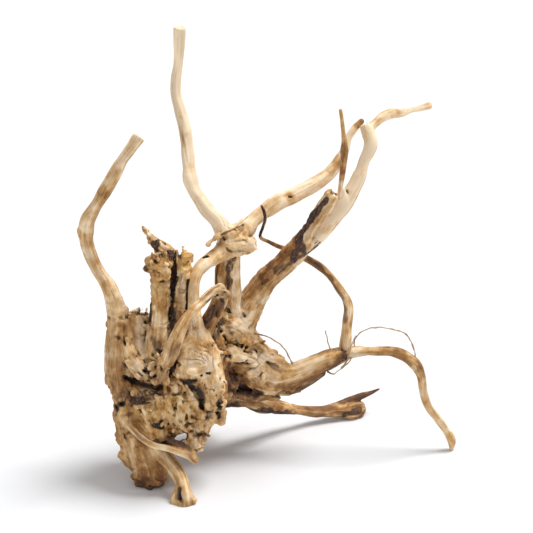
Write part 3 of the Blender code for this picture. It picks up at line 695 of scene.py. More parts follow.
def root_wood():
    """Debarked azalea root, sand-blasted and dried in the sun: open fibre that runs along each root, cream
    where it is worn and where painted light falls, golden to brown elsewhere, with dark bark left in the
    folds, and painted shade that goes brown in the grooves and near black in the crevices."""
    material = bpy.data.materials.new("debarked_root")
    material.use_nodes = True
    tree = material.node_tree
    tree.nodes.clear()
    place = add(tree, "ShaderNodeAttribute", attribute_name="place").outputs["Vector"]
    at = {}
    for name in ("share", "groove", "shade", "wear_and_light", "bark_and_shade", "stripes", "golden"):
        at[name] = add(tree, "ShaderNodeAttribute", attribute_name=name).outputs["Fac"]

    def fibres(sizes, detail):
        """Noise along the grain of both roots that a point lies between."""
        values = []
        for name in ("fibre", "fibre_next"):
            run = add(tree, "ShaderNodeAttribute", attribute_name=name).outputs["Vector"]
            across = [1 / size for size in sizes]
            run = add(tree, "ShaderNodeVectorMath", {0: run, 1: across}, operation="MULTIPLY")
            values.append(add(tree, "ShaderNodeTexNoise", {
                "Vector": run, "Scale": 1.0, "Detail": detail, "Roughness": 0.6}).outputs[0])
        return add(tree, "ShaderNodeMix", {0: at["share"], 2: values[1], 3: values[0]}, data_type="FLOAT")

    # Single fibres are about 0.3 mm; at 0.8 mm a pixel they are drawn at 0.7 mm to show at all.
    fine = fibres((0.7, 0.7, 9), 3.0)
    streak = fibres((2.8, 2.8, 26), 2.0)
    frayed = fibres((1.6, 1.6, 7), 3.0)
    # Stains are 10 to 14 mm across and crumbs of wood about 2 mm.
    patch = add(tree, "ShaderNodeTexNoise", {
        "Vector": place, "Scale": 1 / 12, "Detail": 4.0, "Roughness": 0.6})
    fleck = add(tree, "ShaderNodeTexNoise", {
        "Vector": place, "Scale": 1 / 2, "Detail": 3.0, "Roughness": 0.65})

    # The wood is of a middle tone, lighter or darker by each of these times its share.
    lines, bands, stain, crumb = [
        add(tree, "ShaderNodeMath", {0: value, 1: 0.5}, operation="SUBTRACT")
        for value in (fine, streak, patch, fleck)]
    bands = add(tree, "ShaderNodeMath", {0: bands, 1: at["stripes"]}, operation="MULTIPLY")
    crumb = add(tree, "ShaderNodeMath", {0: crumb, 1: at["golden"]}, operation="MULTIPLY")
    tone = 0.5
    for value, share in ((lines, 0.26), (bands, 0.45), (stain, 0.5), (crumb, 0.3), (at["wear_and_light"], 0.16)):
        tone = add(tree, "ShaderNodeMath", {0: value, 1: share, 2: tone}, operation="MULTIPLY_ADD")
    wood = add(tree, "ShaderNodeValToRGB", {0: tone}, [
        (0.30, "#5A3B22"), (0.41, "#97693A"), (0.50, "#C2965F"), (0.58, "#DFBB8A"), (0.68, "#F6DFBE")])
    ochre = add(tree, "ShaderNodeValToRGB", {0: tone}, [
        (0.30, "#5A3317"), (0.42, "#A06B2C"), (0.52, "#CC9A4E"), (0.62, "#E3BE7C")])
    gold = add(tree, "ShaderNodeMath", {0: at["golden"], 1: 0.7}, operation="MULTIPLY", use_clamp=True)

    # Painted shade: grooves go brown first, and crevices go near black after.
    groove_shade = add(tree, "ShaderNodeMath", {0: at["groove"], 1: 0.7}, operation="MULTIPLY")
    painted_shade = add(tree, "ShaderNodeMath", {0: at["shade"], 1: 0.97}, operation="MULTIPLY")

    # Bark is left in shreds that follow the grain, plum-brown and almost black between them. Its mask also
    # holds painted shade, so undersides and crevices take more of it.
    shred = at["bark_and_shade"]
    for value, share in ((frayed, 0.9), (fleck, 0.45)):
        shred = add(tree, "ShaderNodeMath", {0: value, 1: share, 2: shred}, operation="MULTIPLY_ADD")
    covered = add(tree, "ShaderNodeMapRange", {0: shred, 1: 0.92, 2: 1.26}, interpolation_type="SMOOTHSTEP")
    mottle = add(tree, "ShaderNodeMath", {0: frayed, 1: fleck}, operation="ADD")
    mottle = add(tree, "ShaderNodeMath", {0: mottle, 1: 0.5}, operation="MULTIPLY")
    crust = add(tree, "ShaderNodeValToRGB", {0: mottle}, [
        (0.36, "#1E1514"), (0.46, "#3A2823"), (0.54, "#563D31"), (0.62, "#7A5B46"), (0.70, "#A5845F")])

    colour = wood
    groove_shade_brown, shade_black = linear("#68432A"), linear("#20140F")
    for much, over in ((gold, ochre), (groove_shade, groove_shade_brown), (painted_shade, shade_black), (covered, crust)):
        colour = add(tree, "ShaderNodeMix", {0: much, 6: colour, 7: over}, data_type="RGBA").outputs[2]
    relief = 0.0
    for value, share in ((fine, 0.6), (fleck, 0.5), (covered, 0.8)):
        relief = add(tree, "ShaderNodeMath", {0: value, 1: share, 2: relief}, operation="MULTIPLY_ADD")
    bump = add(tree, "ShaderNodeBump", {"Strength": 0.55, "Distance": 0.0005, "Height": relief})
    rough = add(tree, "ShaderNodeMath", {0: covered, 1: 0.14, 2: 0.66}, operation="MULTIPLY_ADD")
    shader = add(tree, "ShaderNodeBsdfPrincipled", {
        "Base Color": colour, "Roughness": rough, "IOR": 1.5, "Specular IOR Level": 0.35, "Normal": bump})
    add(tree, "ShaderNodeOutputMaterial", {0: shader})
    return material


def dry_rootlet():
    """A dry side root the thickness of a thread: grey-tan skin with fine lengthwise wrinkles."""
    material = bpy.data.materials.new("dry_rootlet")
    material.use_nodes = True
    tree = material.node_tree
    tree.nodes.clear()
    fibre = add(tree, "ShaderNodeAttribute", attribute_name="fibre").outputs["Vector"]
    run = add(tree, "ShaderNodeVectorMath", {0: fibre, 1: (2.0, 2.0, 1 / 3.5)}, operation="MULTIPLY")
    mottle = add(tree, "ShaderNodeTexNoise", {"Vector": run, "Scale": 1.0, "Detail": 3.0})
    colour = add(tree, "ShaderNodeValToRGB", {0: mottle}, [
        (0.35, "#80684B"), (0.52, "#B59B79"), (0.68, "#D6C4A6")])
    bump = add(tree, "ShaderNodeBump", {"Strength": 0.4, "Distance": 0.0002, "Height": mottle})
    shader = add(tree, "ShaderNodeBsdfPrincipled", {
        "Base Color": colour, "Roughness": 0.72, "IOR": 1.5, "Specular IOR Level": 0.3, "Normal": bump})
    add(tree, "ShaderNodeOutputMaterial", {0: shader})
    return material


def new_piece(name, points, faces, material, values):
    """A mesh object from points in mm, with values kept at its vertices for the material."""
    mesh = bpy.data.meshes.new(name)
    mesh.from_pydata((points * MM).tolist(), [], faces.tolist())
    for key, value in values.items():
        kind = "FLOAT_VECTOR" if value.ndim == 2 else "FLOAT"
        kept = mesh.attributes.new(key, kind, "POINT")
        kept.data.foreach_set("vector" if value.ndim == 2 else "value", value.astype(np.float32).ravel())
    mesh.polygons.foreach_set("use_smooth", [True] * len(mesh.polygons))
    mesh.materials.append(material)
    piece = bpy.data.objects.new(name, mesh)
    bpy.context.scene.collection.objects.link(piece)
    return piece


# The marks found so far: for each kind, its points, radius and amount.
FOUND = {}


def marked(kind, p):
    """How much of a kind of mark is at each point, with a ragged edge."""
    total = np.zeros(len(p))
    for spots, radius, amount in FOUND.get(kind, ()):
        reach = radius * (MARK_GONE + MARK_WANDER + 0.1)
        low, high = spots.min(axis=0) - reach, spots.max(axis=0) + reach
        near = np.nonzero(((p > low) & (p < high)).all(axis=1))[0]
        if not len(near):
            continue
        gap = np.full(len(near), FAR)
        for spot in spots:
            gap = np.minimum(gap, np.linalg.norm(p[near] - spot, axis=1))
        edge = gap + noise(p[near], (4.5, 4.5, 6), 7) * MARK_WANDER * radius
        total[near] += amount * (1 - step_up(edge, radius * MARK_FULL, radius * MARK_GONE))
    return total


def find_marks(node, block, kinds):
    """Keeps the places on a piece that the photograph's marks of these kinds fall on."""
    for kind in kinds:
        for pixels, radius, amount in MARKS.get(node, {}).get(kind, ()):
            spots = []
            for (u0, v0), (u1, v1) in zip(pixels, [*pixels[1:], pixels[-1]]):
                count = max(1, int(math.hypot(u1 - u0, v1 - v0) / MARK_STEP))
                for t in np.linspace(0, 1, count, endpoint=False):
                    spot = block.seen_at(u0 + (u1 - u0) * t, v0 + (v1 - v0) * t)
                    if spot is not None:
                        spots.append(spot)
            if spots:
                FOUND.setdefault(kind, []).append((np.array(spots), radius, amount))


def grown_block(node, own, near, stubs, cell, blend):
    """A piece's strands grown together with those beside it."""
    cell = cell * 1.0
    own_paths = [smooth_route(SHAPES[key]) for key in own] + [stub(key)[0] for key in stubs]
    table = np.concatenate(own_paths)
    low = (table[:, :3] - table[:, 3:4]).min(axis=0) - ROOM_ROUND
    high = (table[:, :3] + table[:, 3:4]).max(axis=0) + ROOM_ROUND
    low[2] = max(low[2], -ROOM_BELOW)
    block = Block(low, high, cell)
    level = (np.array([0, 0, STUMP_SPLIT_Z + OVERLAP]), np.array([0.0, 0, 1.0]))
    for key, path in zip(own, own_paths):
        topped = node == "rootstock" and key in STUMP_BASE
        block.grow(path, blend, level if topped else None)
    for key in stubs:
        path, plane = stub(key)
        block.grow(path, blend, plane)
    if near:
        sleeve = Block(low, high, cell)
        for path in own_paths:
            sleeve.grow(path, SLEEVE_BLEND)
        for key in near:
            block.grow(smooth_route(SHAPES[key]), blend)
        np.maximum(block.field, sleeve.field - SLEEVE, out=block.field)
    for route in FORMS.get(node, ()):
        block.grow(smooth_route(placed(route)), FORM_BLEND)
    for route in STUMP_BODY if node in ("rootstock", "broken_stump") else ():
        block.grow(smooth_route(placed(route)), FORM_BLEND, level if node == "rootstock" else None)
    find_marks(node, block, SKIN_MARKS)
    return block


def dressed_piece(node, own, near, clips, material, block, parts):
    """The skin of a piece's block, clipped where the neighbouring piece goes on, and dressed with
    ridges, grooves and pits."""
    forks = [part_way(*split_path(name))[0] for name in SPLITS]

    def breaks(p):
        """How far the skin is broken up at each point. It is whole where a free root leaves."""
        much = np.clip(BREAKS.get(node, 0.0) + marked("rough", p) - marked("smooth", p), 0, 1)
        for fork in forks:
            radii_off = np.linalg.norm(p - fork[:3], axis=1) / fork[3]
            much = much * step_up(radii_off, WHOLE_TO, BROKEN_FROM)
        return much

    if node in BREAKS:
        block.roughen(breaks, BREAK_DEPTH)
    for kind, soft, sink, pixels in DETAILS.get(node, ()):
        path = block.laid_on(pixels, sink)
        if path is not None:
            block.grow(path, soft, hollow=kind == "hollow")
    for u, v, radius, length in THROUGH.get(node, ()):
        spot = block.seen_at(u, v)
        if spot is not None:
            ends = [spot - ray(u, v) * 4.0, spot + ray(u, v) * length]
            block.grow([(*end, radius) for end in ends], 1.5, hollow=True)
    find_marks(node, block, FLOOR_MARKS)
    for key in own:
        if key in BROKEN_ENDS:
            share, jag = BROKEN_ENDS[key]
            last = np.array(SHAPES[key][-1], float)
            out = last[:3] - np.array(SHAPES[key][-2][:3], float)
            out /= np.linalg.norm(out)
            block.snap((last[:3] + out * last[3] * share, out), jag)
    for plane in clips:
        block.clip(plane)
    block.clip((np.zeros(3), np.array([0.0, 0.0, -1.0])))
    np.minimum(block.field, OPEN_AIR, out=block.field)
    whole = block.field
    for ending, planes in parts:
        block.field = whole.copy()
        for plane in planes:
            block.clip(plane)
        skinned_part(node, ending, own, near, material, block, whole)


def skinned_part(node, ending, own, near, material, block, whole):
    """The skin of one part of a piece, with its fine relief and the values for its material."""
    points, faces = block.skin()
    for _ in range(2):
        points = relaxed(points, faces)
        points -= block.outwards(points) * np.clip(block.at(points), -PULL, PULL)[:, None]
    out = block.outwards(points)
    # Painted shade: the colour goes near black where little open air lies near the skin, and where painted
    # shade is marked.
    shade = np.zeros(len(points))
    block.field = whole
    for reach in SHADE_REACHES:
        shade += 1.0 - np.clip(block.at(points + out * reach) / reach, 0, 1)
    shade = np.clip(step_up(shade / len(SHADE_REACHES), 0.22, 0.75) + marked("painted_shade", points), 0, 1)

    from_roots = [key for key in SHAPES if key in own or key in near or key in STUB_ROOTS.get(node, ())]
    grain, beside, size, share, roots = grain_map(from_roots, points)
    looks = np.array([LOOKS.get(key, PLAIN) for key in from_roots])
    look = looks[roots[:, 0]] * share[:, None] + looks[roots[:, 1]] * (1 - share)[:, None]
    rugged, crumbly, pale, barky = look.T
    steady = step_up(points[:, 2], 0.6, 3.0)
    thick = np.clip(size / FULL_THICKNESS, 0.2, 1.0)

    def along_grain(sizes, seed):
        """Noise that runs with the grain, carried over softly where two roots have grown together."""
        return noise(grain, sizes, seed) * share + noise(beside, sizes, seed) * (1 - share)

    lumps = noise(points, (13, 13, 17), 1) * 0.7 + noise(points, (6, 6, 8), 2) * 0.3
    ridges = 1.0 - np.abs(along_grain((4.2, 4.2, 50), 3)) * 1.7
    threads = 1.0 - np.abs(along_grain((2.2, 2.2, 26), 4)) * 1.7
    splits = step_up(1.0 - np.abs(along_grain((6.5, 6.5, 70), 5)) * 8.0, 0.0, 1.0)
    splits *= step_up(along_grain((9, 9, 30), 6), 0.05, 0.6)
    crumbs = noise(points, (3.2, 3.2, 3.6), 8) * step_up(noise(points, (15, 15, 15), 9), -0.1, 0.6)
    rise = (lumps * LUMP + ridges * RIDGE + threads * THREAD - splits * SPLIT) * thick * rugged
    rise += crumbs * CRUMB * crumbly * thick
    u, v = pixel_of(points)
    turns = np.hypot(u - SWIRL[0], v - SWIRL[1]) / SWIRL_STEP + noise(points, (9, 9, 9), 15) * 0.8
    wrinkles = step_up(0.55 - np.abs(np.sin(turns * math.pi)), 0.0, 0.5) * marked("wrinkled", points)
    wrinkles *= step_up(noise(points, (8, 8, 8), 16), -0.35, 0.25)
    rise -= wrinkles * WRINKLE
    points = points + out * (rise * steady)[:, None]
    points[:, 2] = np.maximum(points[:, 2], 0.0)

    # Painted shade: the colour goes brown in the grooves, splits and wrinkles.
    groove = step_up(-(ridges * 0.6 + threads * 0.4), -0.6, 0.3) * rugged + splits
    # Raised lumps and crumbs are worn paler. The pale and dark marks and each root's paleness are partly
    # real tone and partly painted light: painted highlight on lit tops and high branches, painted shade in
    # crevices and on undersides.
    wear_and_light = lumps * 0.4 * np.maximum(thick, 0.5) + crumbs * 0.4 * crumbly
    wear_and_light += pale + marked("pale", points) - marked("dark", points)
    # Painted shade: faces that look down and crevices get more of the dark bark colour, besides the bark
    # marks and each root's own bark.
    below = step_up(-out[:, 2], 0.2, 0.9)
    bark_and_shade = shade * 0.3 * crumbly + below * 0.18 + marked("bark_and_shade", points) + barky
    ochre = step_up(noise(points, (14, 14, 12), 17), -0.4, 0.5)
    values = {
        "fibre": grain, "fibre_next": beside, "share": share, "place": points,
        "stripes": np.clip(0.15 + rugged, 0, 1),
        "golden": np.clip(crumbly * 0.6 * ochre + marked("golden", points), 0, 1),
        "groove": np.clip(groove + wrinkles, 0, 1), "shade": shade,
        "wear_and_light": np.clip(wear_and_light, -2.0, 1.6), "bark_and_shade": np.clip(bark_and_shade, 0, 1),
    }
    piece = new_piece(node + "_wood" + ending, points, faces, material, values)
    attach(piece, "root")
    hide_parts(node)


def thread_mesh(route):
    """A thin tube with small swellings along a route: its points, faces and fibre coordinates."""
    path = smooth_route(route, 1.0)
    wobble = np.stack([noise(path[:, :3], (4, 4, 4), seed) for seed in (11, 12, 13)], axis=1) * 0.35
    ease = np.minimum(np.arange(len(path)), np.arange(len(path))[::-1]) / 4.0
    path[:, :3] += wobble * np.clip(ease, 0, 1)[:, None]
    path[:, 3] *= 1 + 0.25 * noise(path[:, :3], (3, 3, 3), 14)
    _, sides, others = frames_along(path)
    turns = np.arange(THREAD_SIDES)[None, :, None] / THREAD_SIDES * 2 * math.pi
    rings = sides[:, None, :] * np.cos(turns) + others[:, None, :] * np.sin(turns)
    points = (path[:, None, :3] + rings * path[:, None, 3:4]).reshape(-1, 3)
    along = np.repeat(lengths_along(path), THREAD_SIDES)
    fibre = np.stack([rings[:, :, 0].ravel(), rings[:, :, 1].ravel(), along], axis=1)
    faces = []
    for i in range(len(path) - 1):
        for j in range(THREAD_SIDES):
            a, b = i * THREAD_SIDES + j, i * THREAD_SIDES + (j + 1) % THREAD_SIDES
            faces.append((a, b, b + THREAD_SIDES, a + THREAD_SIDES))
    return points, np.array(faces), fibre


def thread_piece(node, routes, material):
    """A dry rootlet, with its side rootlets."""
    points, faces, fibres = [], [], []
    for route in routes:
        made = thread_mesh(route)
        faces.append(made[1] + sum(len(part) for part in points))
        points.append(made[0])
        fibres.append(made[2])
    piece = new_piece(node + "_thread", np.concatenate(points), np.concatenate(faces), material,
                      {"fibre": np.concatenate(fibres)})
    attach(piece, "root")
    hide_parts(node)


# Every strand by name, in a fixed order, which also sets where its grain pattern starts.
ROOTS = {
    "left_branch": LEFT_BRANCH, "tall_branch": TALL_BRANCH, "upper_arm": UPPER_ARM,
    "diagonal_trunk": DIAGONAL_TRUNK, "barked_stub": BARKED_STUB, "smooth_arm": SMOOTH_ARM,
    "finger": FINGER, "upright_twig": UPRIGHT_TWIG, "loop_branch": LOOP_BRANCH,
    "right_root": RIGHT_ROOT, "low_root": LOW_ROOT, "low_spike": LOW_SPIKE, "front_foot": FRONT_FOOT,
    "front_whip": FRONT_WHIP, "strap_root": STRAP, "riser": RISER, "post": POST, "bark_rib": BARK_RIB,
    "strap_web": STRAP_WEB, "whip_back": WHIP_BACK,
}
SHAPES = {**ROOTS, **CROWN, **STUMP, **KNUCKLE}
ORDER = list(SHAPES)

# The stump's strands that start in the crown, and the free roots whose grain each mass's stubs keep.
STUMP_BASE = ("stump_left", "stump_right", "stump_back")
STUB_ROOTS = {
    "rootstock": ("left_branch", "riser", "strap_root", "post", "diagonal_trunk", "right_root",
                  "low_root", "front_foot", "front_whip"),
    "knuckle": ("riser", "post", "tall_branch", "upper_arm"),
    "diagonal_trunk": ("smooth_arm",),
}


def from_here(name):
    """The clip that lets a free root start at its split, a little inside its mass."""
    point, direction = split_plane(name)
    return point - direction * OVERLAP, -direction


def camera():
    """The photograph's camera."""
    data = bpy.data.cameras.new("camera")
    data.lens, data.sensor_width, data.clip_end = LENS, SENSOR, 20.0
    eye = bpy.data.objects.new("camera", data)
    eye.location = Vector(EYE * MM)
    eye.rotation_euler = Vector(FORWARD).to_track_quat("-Z", "Y").to_euler()
    bpy.context.scene.collection.objects.link(eye)
    bpy.context.scene.camera = eye


def stage():
    """A plain near-white floor under a bright even sky, with one soft lamp above, to the right behind."""
    mesh = bpy.data.meshes.new("floor")
    mesh.from_pydata([(-6, -6, 0), (6, -6, 0), (6, 12, 0), (-6, 12, 0)], [], [(0, 1, 2, 3)])
    floor = bpy.data.objects.new("floor", mesh)
    paint = bpy.data.materials.new("studio_floor")
    paint.use_nodes = True
    shader = paint.node_tree.nodes["Principled BSDF"]
    shader.inputs["Base Color"].default_value = linear("#DCDDDF")
    shader.inputs["Roughness"].default_value = 0.9
    shader.inputs["Specular IOR Level"].default_value = 0.1
    mesh.materials.append(paint)
    bpy.context.scene.collection.objects.link(floor)

    world = bpy.data.worlds.new("studio")
    bpy.context.scene.world = world
    world.use_nodes = True
    back = world.node_tree.nodes["Background"]
    back.inputs["Color"].default_value = linear("#FFFFFF")
    back.inputs["Strength"].default_value = 0.62

    sun = bpy.data.lights.new("overhead", "SUN")
    sun.energy, sun.angle = 3.1, math.radians(26)
    key = bpy.data.objects.new("overhead", sun)
    key.rotation_euler = Vector((-0.42, -0.12, -1.0)).to_track_quat("-Z", "Y").to_euler()
    bpy.context.scene.collection.objects.link(key)


def main():
    """Builds the stage and the camera, and every piece of the wood."""
    bpy.context.scene.view_settings.view_transform = "Standard"
    camera()
    stage()
    wood, dry = root_wood(), dry_rootlet()
    crown_forks = ["left_branch", "riser_foot", "strap_foot", "strap_end", "post_foot", "trunk_foot",
                   "right_root", "low_root", "front_foot", "front_whip"]
    above_split = (np.array([0, 0, STUMP_SPLIT_Z - OVERLAP]), np.array([0.0, 0, -1.0]))
    knuckle_forks = ["riser_top", "post_top", "tall_branch", "upper_arm"]

    # Piece, its strands, the strands that it grows into, the stubs of free roots that it keeps, its
    # clips, the grid's cell in mm and the blend in mm.
    pieces = [
        ("rootstock", list(CROWN) + list(STUMP_BASE), [], crown_forks, [], 0.98, 3.4),
        ("broken_stump", list(STUMP), [], [], [above_split], 0.6, 2.2),
        ("knuckle", list(KNUCKLE), [], knuckle_forks, [], 0.6, 2.5),
        ("diagonal_trunk", ["diagonal_trunk", "barked_stub"], ["burl_top", "back_burl"], ["smooth_arm"],
         [from_here("trunk_foot")], 0.65, 3.0),
    ]
    # Free root, its strands, the strands that it grows into, its splits and the grid's cell in mm.
    free = [
        ("left_branch", ["left_branch"], ["flank", "bowl_lip", "bowl_back"], ["left_branch"], 0.62),
        ("riser", ["riser"], ["knob", "knob_left", "ball", "flake"], ["riser_foot", "riser_top"], 0.6),
        ("strap_root", ["strap_root", "strap_web"], ["knob_left", "knob", "core_low"],
         ["strap_foot", "strap_end"], 0.55),
        ("post", ["post", "bark_rib"], ["burl_top", "ball", "cut_stub"], ["post_foot", "post_top"], 0.6),
        ("tall_branch", ["tall_branch"], ["ball", "upper_arm"], ["tall_branch"], 0.6),
        ("upper_arm", ["upper_arm"], ["ball", "cut_stub"], ["upper_arm"], 0.6),
        ("smooth_arm", ["smooth_arm"], ["barked_stub"], ["smooth_arm"], 0.6),
        ("finger", ["finger"], ["smooth_arm"], [], 0.5),
        ("upright_twig", ["upright_twig"], [], [], 0.45),
        ("loop_branch", ["loop_branch"], [], [], 0.5),
        ("right_root", ["right_root"], ["burl_top", "back_burl"], ["right_root"], 0.7),
        ("low_root", ["low_root", "low_spike"], ["back_rib_2", "core_low"], ["low_root"], 0.6),
        ("front_foot", ["front_foot"], ["lower_left", "lower_mid"], ["front_foot"], 0.55),
        ("front_whip", ["front_whip", "whip_back"], ["lower_left"], ["front_whip"], 0.5),
    ]
    for node, own, near, splits, cell in free:
        pieces.append((node, own, near, [], [from_here(split) for split in splits], cell, 2.5))
    blocks = [grown_block(node, own, near, stubs, cell, blend)
              for node, own, near, stubs, _, cell, blend in pieces]
    for (node, own, near, _, clips, _, _), block in zip(pieces, blocks):
        parts = CROWN_PARTS if node == "rootstock" else (("", ()),)
        dressed_piece(node, own, near, clips, wood, block, parts)
    for node, route in ROOTLETS.items():
        thread_piece(node, [route] + SIDE_ROOTLETS.get(node, []), dry)


# How each root's skin is: the depth of its lengthwise ridges, of its crumbs, how much paler or darker its
# wood is, partly from wear and partly painted light, with high branches lit and low and back roots in
# painted shade, and how much bark is left on it.
PLAIN = (0.7, 0.4, 0.0, 0.0)
LOOKS = {
    "tall_branch": (0.3, 0.0, 1.35, 0.0), "left_branch": (0.4, 0.1, 0.7, 0.0),
    "upper_arm": (0.3, 0.0, 0.9, 0.0), "smooth_arm": (0.2, 0.0, 1.2, 0.0),
    "finger": (0.25, 0.0, 0.7, 0.0), "upright_twig": (0.3, 0.0, 0.15, 0.0),
    "barked_stub": (0.5, 0.3, 0.3, 0.1), "diagonal_trunk": (0.5, 0.3, 0.1, 0.05),
    "loop_branch": (0.4, 0.1, 0.0, 0.15), "right_root": (0.45, 0.1, 0.45, 0.0),
    "low_root": (0.8, 0.2, -0.25, 0.15), "low_spike": (0.5, 0.0, -1.0, 0.3),
    "front_foot": (0.5, 0.2, 0.25, 0.0), "front_whip": (0.3, 0.3, 0.6, 0.0),
    "whip_back": (0.6, 0.8, -1.2, 0.6), "strap_root": (0.6, 0.1, 0.25, 0.0),
    "strap_web": (0.8, 0.3, -0.6, 0.2), "riser": (0.3, 0.0, 0.5, 0.0), "post": (0.4, 0.2, 0.6, 0.0),
    "bark_rib": (0.8, 0.8, 0.0, 0.12), "flank": (0.5, 0.2, -0.1, 0.0), "left_edge": (0.6, 0.5, -0.3, 0.1),
    "bowl_lip": (0.5, 0.7, 0.4, 0.0), "bowl_back": (0.7, 0.8, 0.5, 0.0),
    "bowl_face": (0.5, 0.5, 1.0, 0.0), "bowl_bed": (0.5, 0.6, 0.4, 0.0),
    "bowl_floor": (0.5, 0.5, 0.4, 0.0), "bowl_wall": (0.5, 0.5, 0.4, 0.0), "knob": (0.35, 0.3, 0.4, 0.0),
    "knob_left": (0.35, 0.3, 0.35, 0.0), "lower_left": (0.4, 0.2, -0.25, 0.0),
    "lower_mid": (0.3, 1.0, 0.25, 0.0), "lower_right": (0.3, 1.0, 0.25, 0.0),
    "lower_fringe": (0.3, 1.0, 0.2, 0.05), "core_low": (0.4, 0.9, -0.4, 0.1),
    "core_high": (0.4, 0.9, -0.4, 0.1), "back_burl": (0.35, 0.9, 0.15, 0.05),
    "burl_skirt": (0.7, 0.9, -0.5, 0.25), "burl_top": (0.35, 0.9, 0.4, 0.0),
    "stump_left": (0.5, 0.3, 0.5, 0.0), "stump_right": (0.6, 0.3, 0.45, 0.0),
    "stump_back": (0.8, 0.4, -1.0, 0.3), "rim": (0.6, 0.9, 0.2, 0.0), "horn": (0.6, 0.9, 0.1, 0.0),
    "side_knob": (0.6, 0.6, -0.3, 0.2), "shard": (0.5, 0.1, 0.1, 0.0), "ball": (0.35, 0.3, 0.75, 0.0),
    "cut_stub": (0.25, 0.2, 0.7, 0.0), "flake": (0.3, 0.1, 0.25, 0.0),
}

# How far a piece's skin is broken up into lumps, ledges and pits where no mark says otherwise.
BREAKS = {
    "rootstock": 0.4, "broken_stump": 0.4, "strap_root": 0.0, "knuckle": 0.2, "diagonal_trunk": 0.15,
}

# Roots that end in a break: how far past the route's end, as a share of the radius, and how
# jagged in mm.
BROKEN_ENDS = {
    "left_branch": (0.35, 0.5), "tall_branch": (0.4, 0.4), "barked_stub": (0.35, 2.4),
    "smooth_arm": (-0.35, 0.7), "front_whip": (0.4, 0.4), "finger": (0.5, 0.3), "cut_stub": (0.45, 0.5),
}

# The crown's skin is made in two parts, which meet at this y in mm. Each runs on by the lap in mm.
CROWN_MIDDLE = 3.0
CROWN_LAP = 0.4
CROWN_PARTS = (
    ("_front", [(np.array([0.0, CROWN_MIDDLE + CROWN_LAP, 0]), np.array([0.0, 1.0, 0]))]),
    ("_back", [(np.array([0.0, CROWN_MIDDLE - CROWN_LAP, 0]), np.array([0.0, -1.0, 0]))]),
)

# Where the knob's wrinkles curl round in the photograph, and how far apart they lie, in pixels.
SWIRL = (186.0, 398.0)
SWIRL_STEP = 3.6

# Openings that the photograph looks through: pixel, radius and length in mm.
THROUGH = {"rootstock": [(176, 439, 1.6, 78), (179.5, 437.5, 2.7, 78), (184, 436, 3.0, 78)]}

# The stump's two halves and its core, down into the crown, in the same terms as the next table.
STUMP_BODY = [
    [(160, 263, -33, 6.4), (160, 276, -33, 7.4), (160, 292, -33, 7.0), (159, 312, -34, 7.2),
     (157, 332, -36, 8.0), (155, 348, -38, 7.0)],
    [(184, 260, -28, 4.6), (185, 280, -28, 6.0), (184, 300, -29, 6.0), (181, 320, -31, 6.4),
     (178, 340, -36, 6.4)],
    [(173, 262, -20, 4.0), (173, 290, -21, 6.0), (172, 318, -24, 7.0), (170, 340, -28, 8.0)],
]

# The keel under the right root's thick part, which starts in the crown.
RIGHT_KEEL = [(258, 386, 7, 5.0), (272, 388, 8, 5.5), (288, 389, 9, 5.5), (304, 383, 10, 4.5),
              (322, 373, 10, 3.2)]

# Smaller forms on the masses: pixel u, pixel v, y in mm and radius in mm.
FORMS = {
    "broken_stump": [
        [(151, 236, -21, 1.6), (156, 243, -21, 3.4), (163, 249, -21, 4.6), (170, 254, -22, 5.0)],
        [(153, 261, -37, 2.0), (152, 252, -36, 0.5)],
        [(159, 262, -38, 2.0), (158, 255, -37, 0.6)],
        [(165, 262, -36, 1.9), (164, 254, -35, 0.6)],
        [(170, 262, -32, 2.2), (172, 249, -30, 0.8)],
        [(178, 262, -28, 2.2), (177, 251, -27, 0.7)],
        [(182, 262, -28, 2.4), (184, 248, -27, 0.6)],
        [(188, 264, -27, 2.2), (190, 252, -26, 0.6)],
        [(150, 268, -35, 2.6), (146, 268, -35, 1.2)],
    ],
    "rootstock": [
        [(131, 318, -14, 2.4), (133, 311, -14, 0.8)], [(138, 317, -12, 2.6), (141, 309, -12, 0.7)],
        [(145, 317, -10, 2.4), (147, 308, -10, 0.8)],
        [(158, 380, -57, 2.4), (159, 368, -58, 2.0), (163, 355, -56, 1.4), (166, 346, -54, 0.5)],
        [(151, 378, -55, 2.2), (154, 366, -56, 1.6), (156, 355, -54, 0.5)],
        [(165, 378, -60, 2.0), (165, 368, -61, 1.6), (169, 358, -60, 0.5)],
        [(230, 391, 2, 4.0), (244, 394, 6, 4.6), (258, 395, 10, 4.4), (272, 396, 12, 3.2),
         (279, 397, 13, 1.6)],
        RIGHT_KEEL,
        [(236, 352, -6, 4.0), (246, 356, -3, 5.0), (257, 362, 1, 4.0)],
        [(240, 340, 0, 3.5), (252, 342, 3, 4.4), (264, 350, 6, 3.6)],
        [(188, 452, -50, 2.0), (195, 446, -50, 3.4), (199, 440, -48, 2.6)],
        [(262, 354, 3, 3.2), (277, 360, 3, 2.8), (290, 365, 4, 1.4)],
    ],
    "right_root": [RIGHT_KEEL],
    "smooth_arm": [[(343, 205, 14, 5.0), (343, 198, 10, 3.8), (342, 190, 7, 2.6)]],
    "strap_root": [
        [(212, 291, -48, 2.2), (220, 287, -46, 2.0), (226, 288, -44, 0.7)],
        [(214, 295, -47, 2.2), (224, 294, -44, 2.2), (229, 299, -42, 0.7)],
        [(216, 300, -44, 1.8), (221, 306, -42, 2.4), (219, 316, -40, 2.0)],
    ],
    "front_foot": [
        [(177, 490, -74, 2.4), (175, 500, -78, 3.6), (175, 503, -80, 2.4)],
        [(184, 490, -74, 2.6), (190, 499, -78, 3.8), (194, 500, -80, 2.4)],
    ],
}

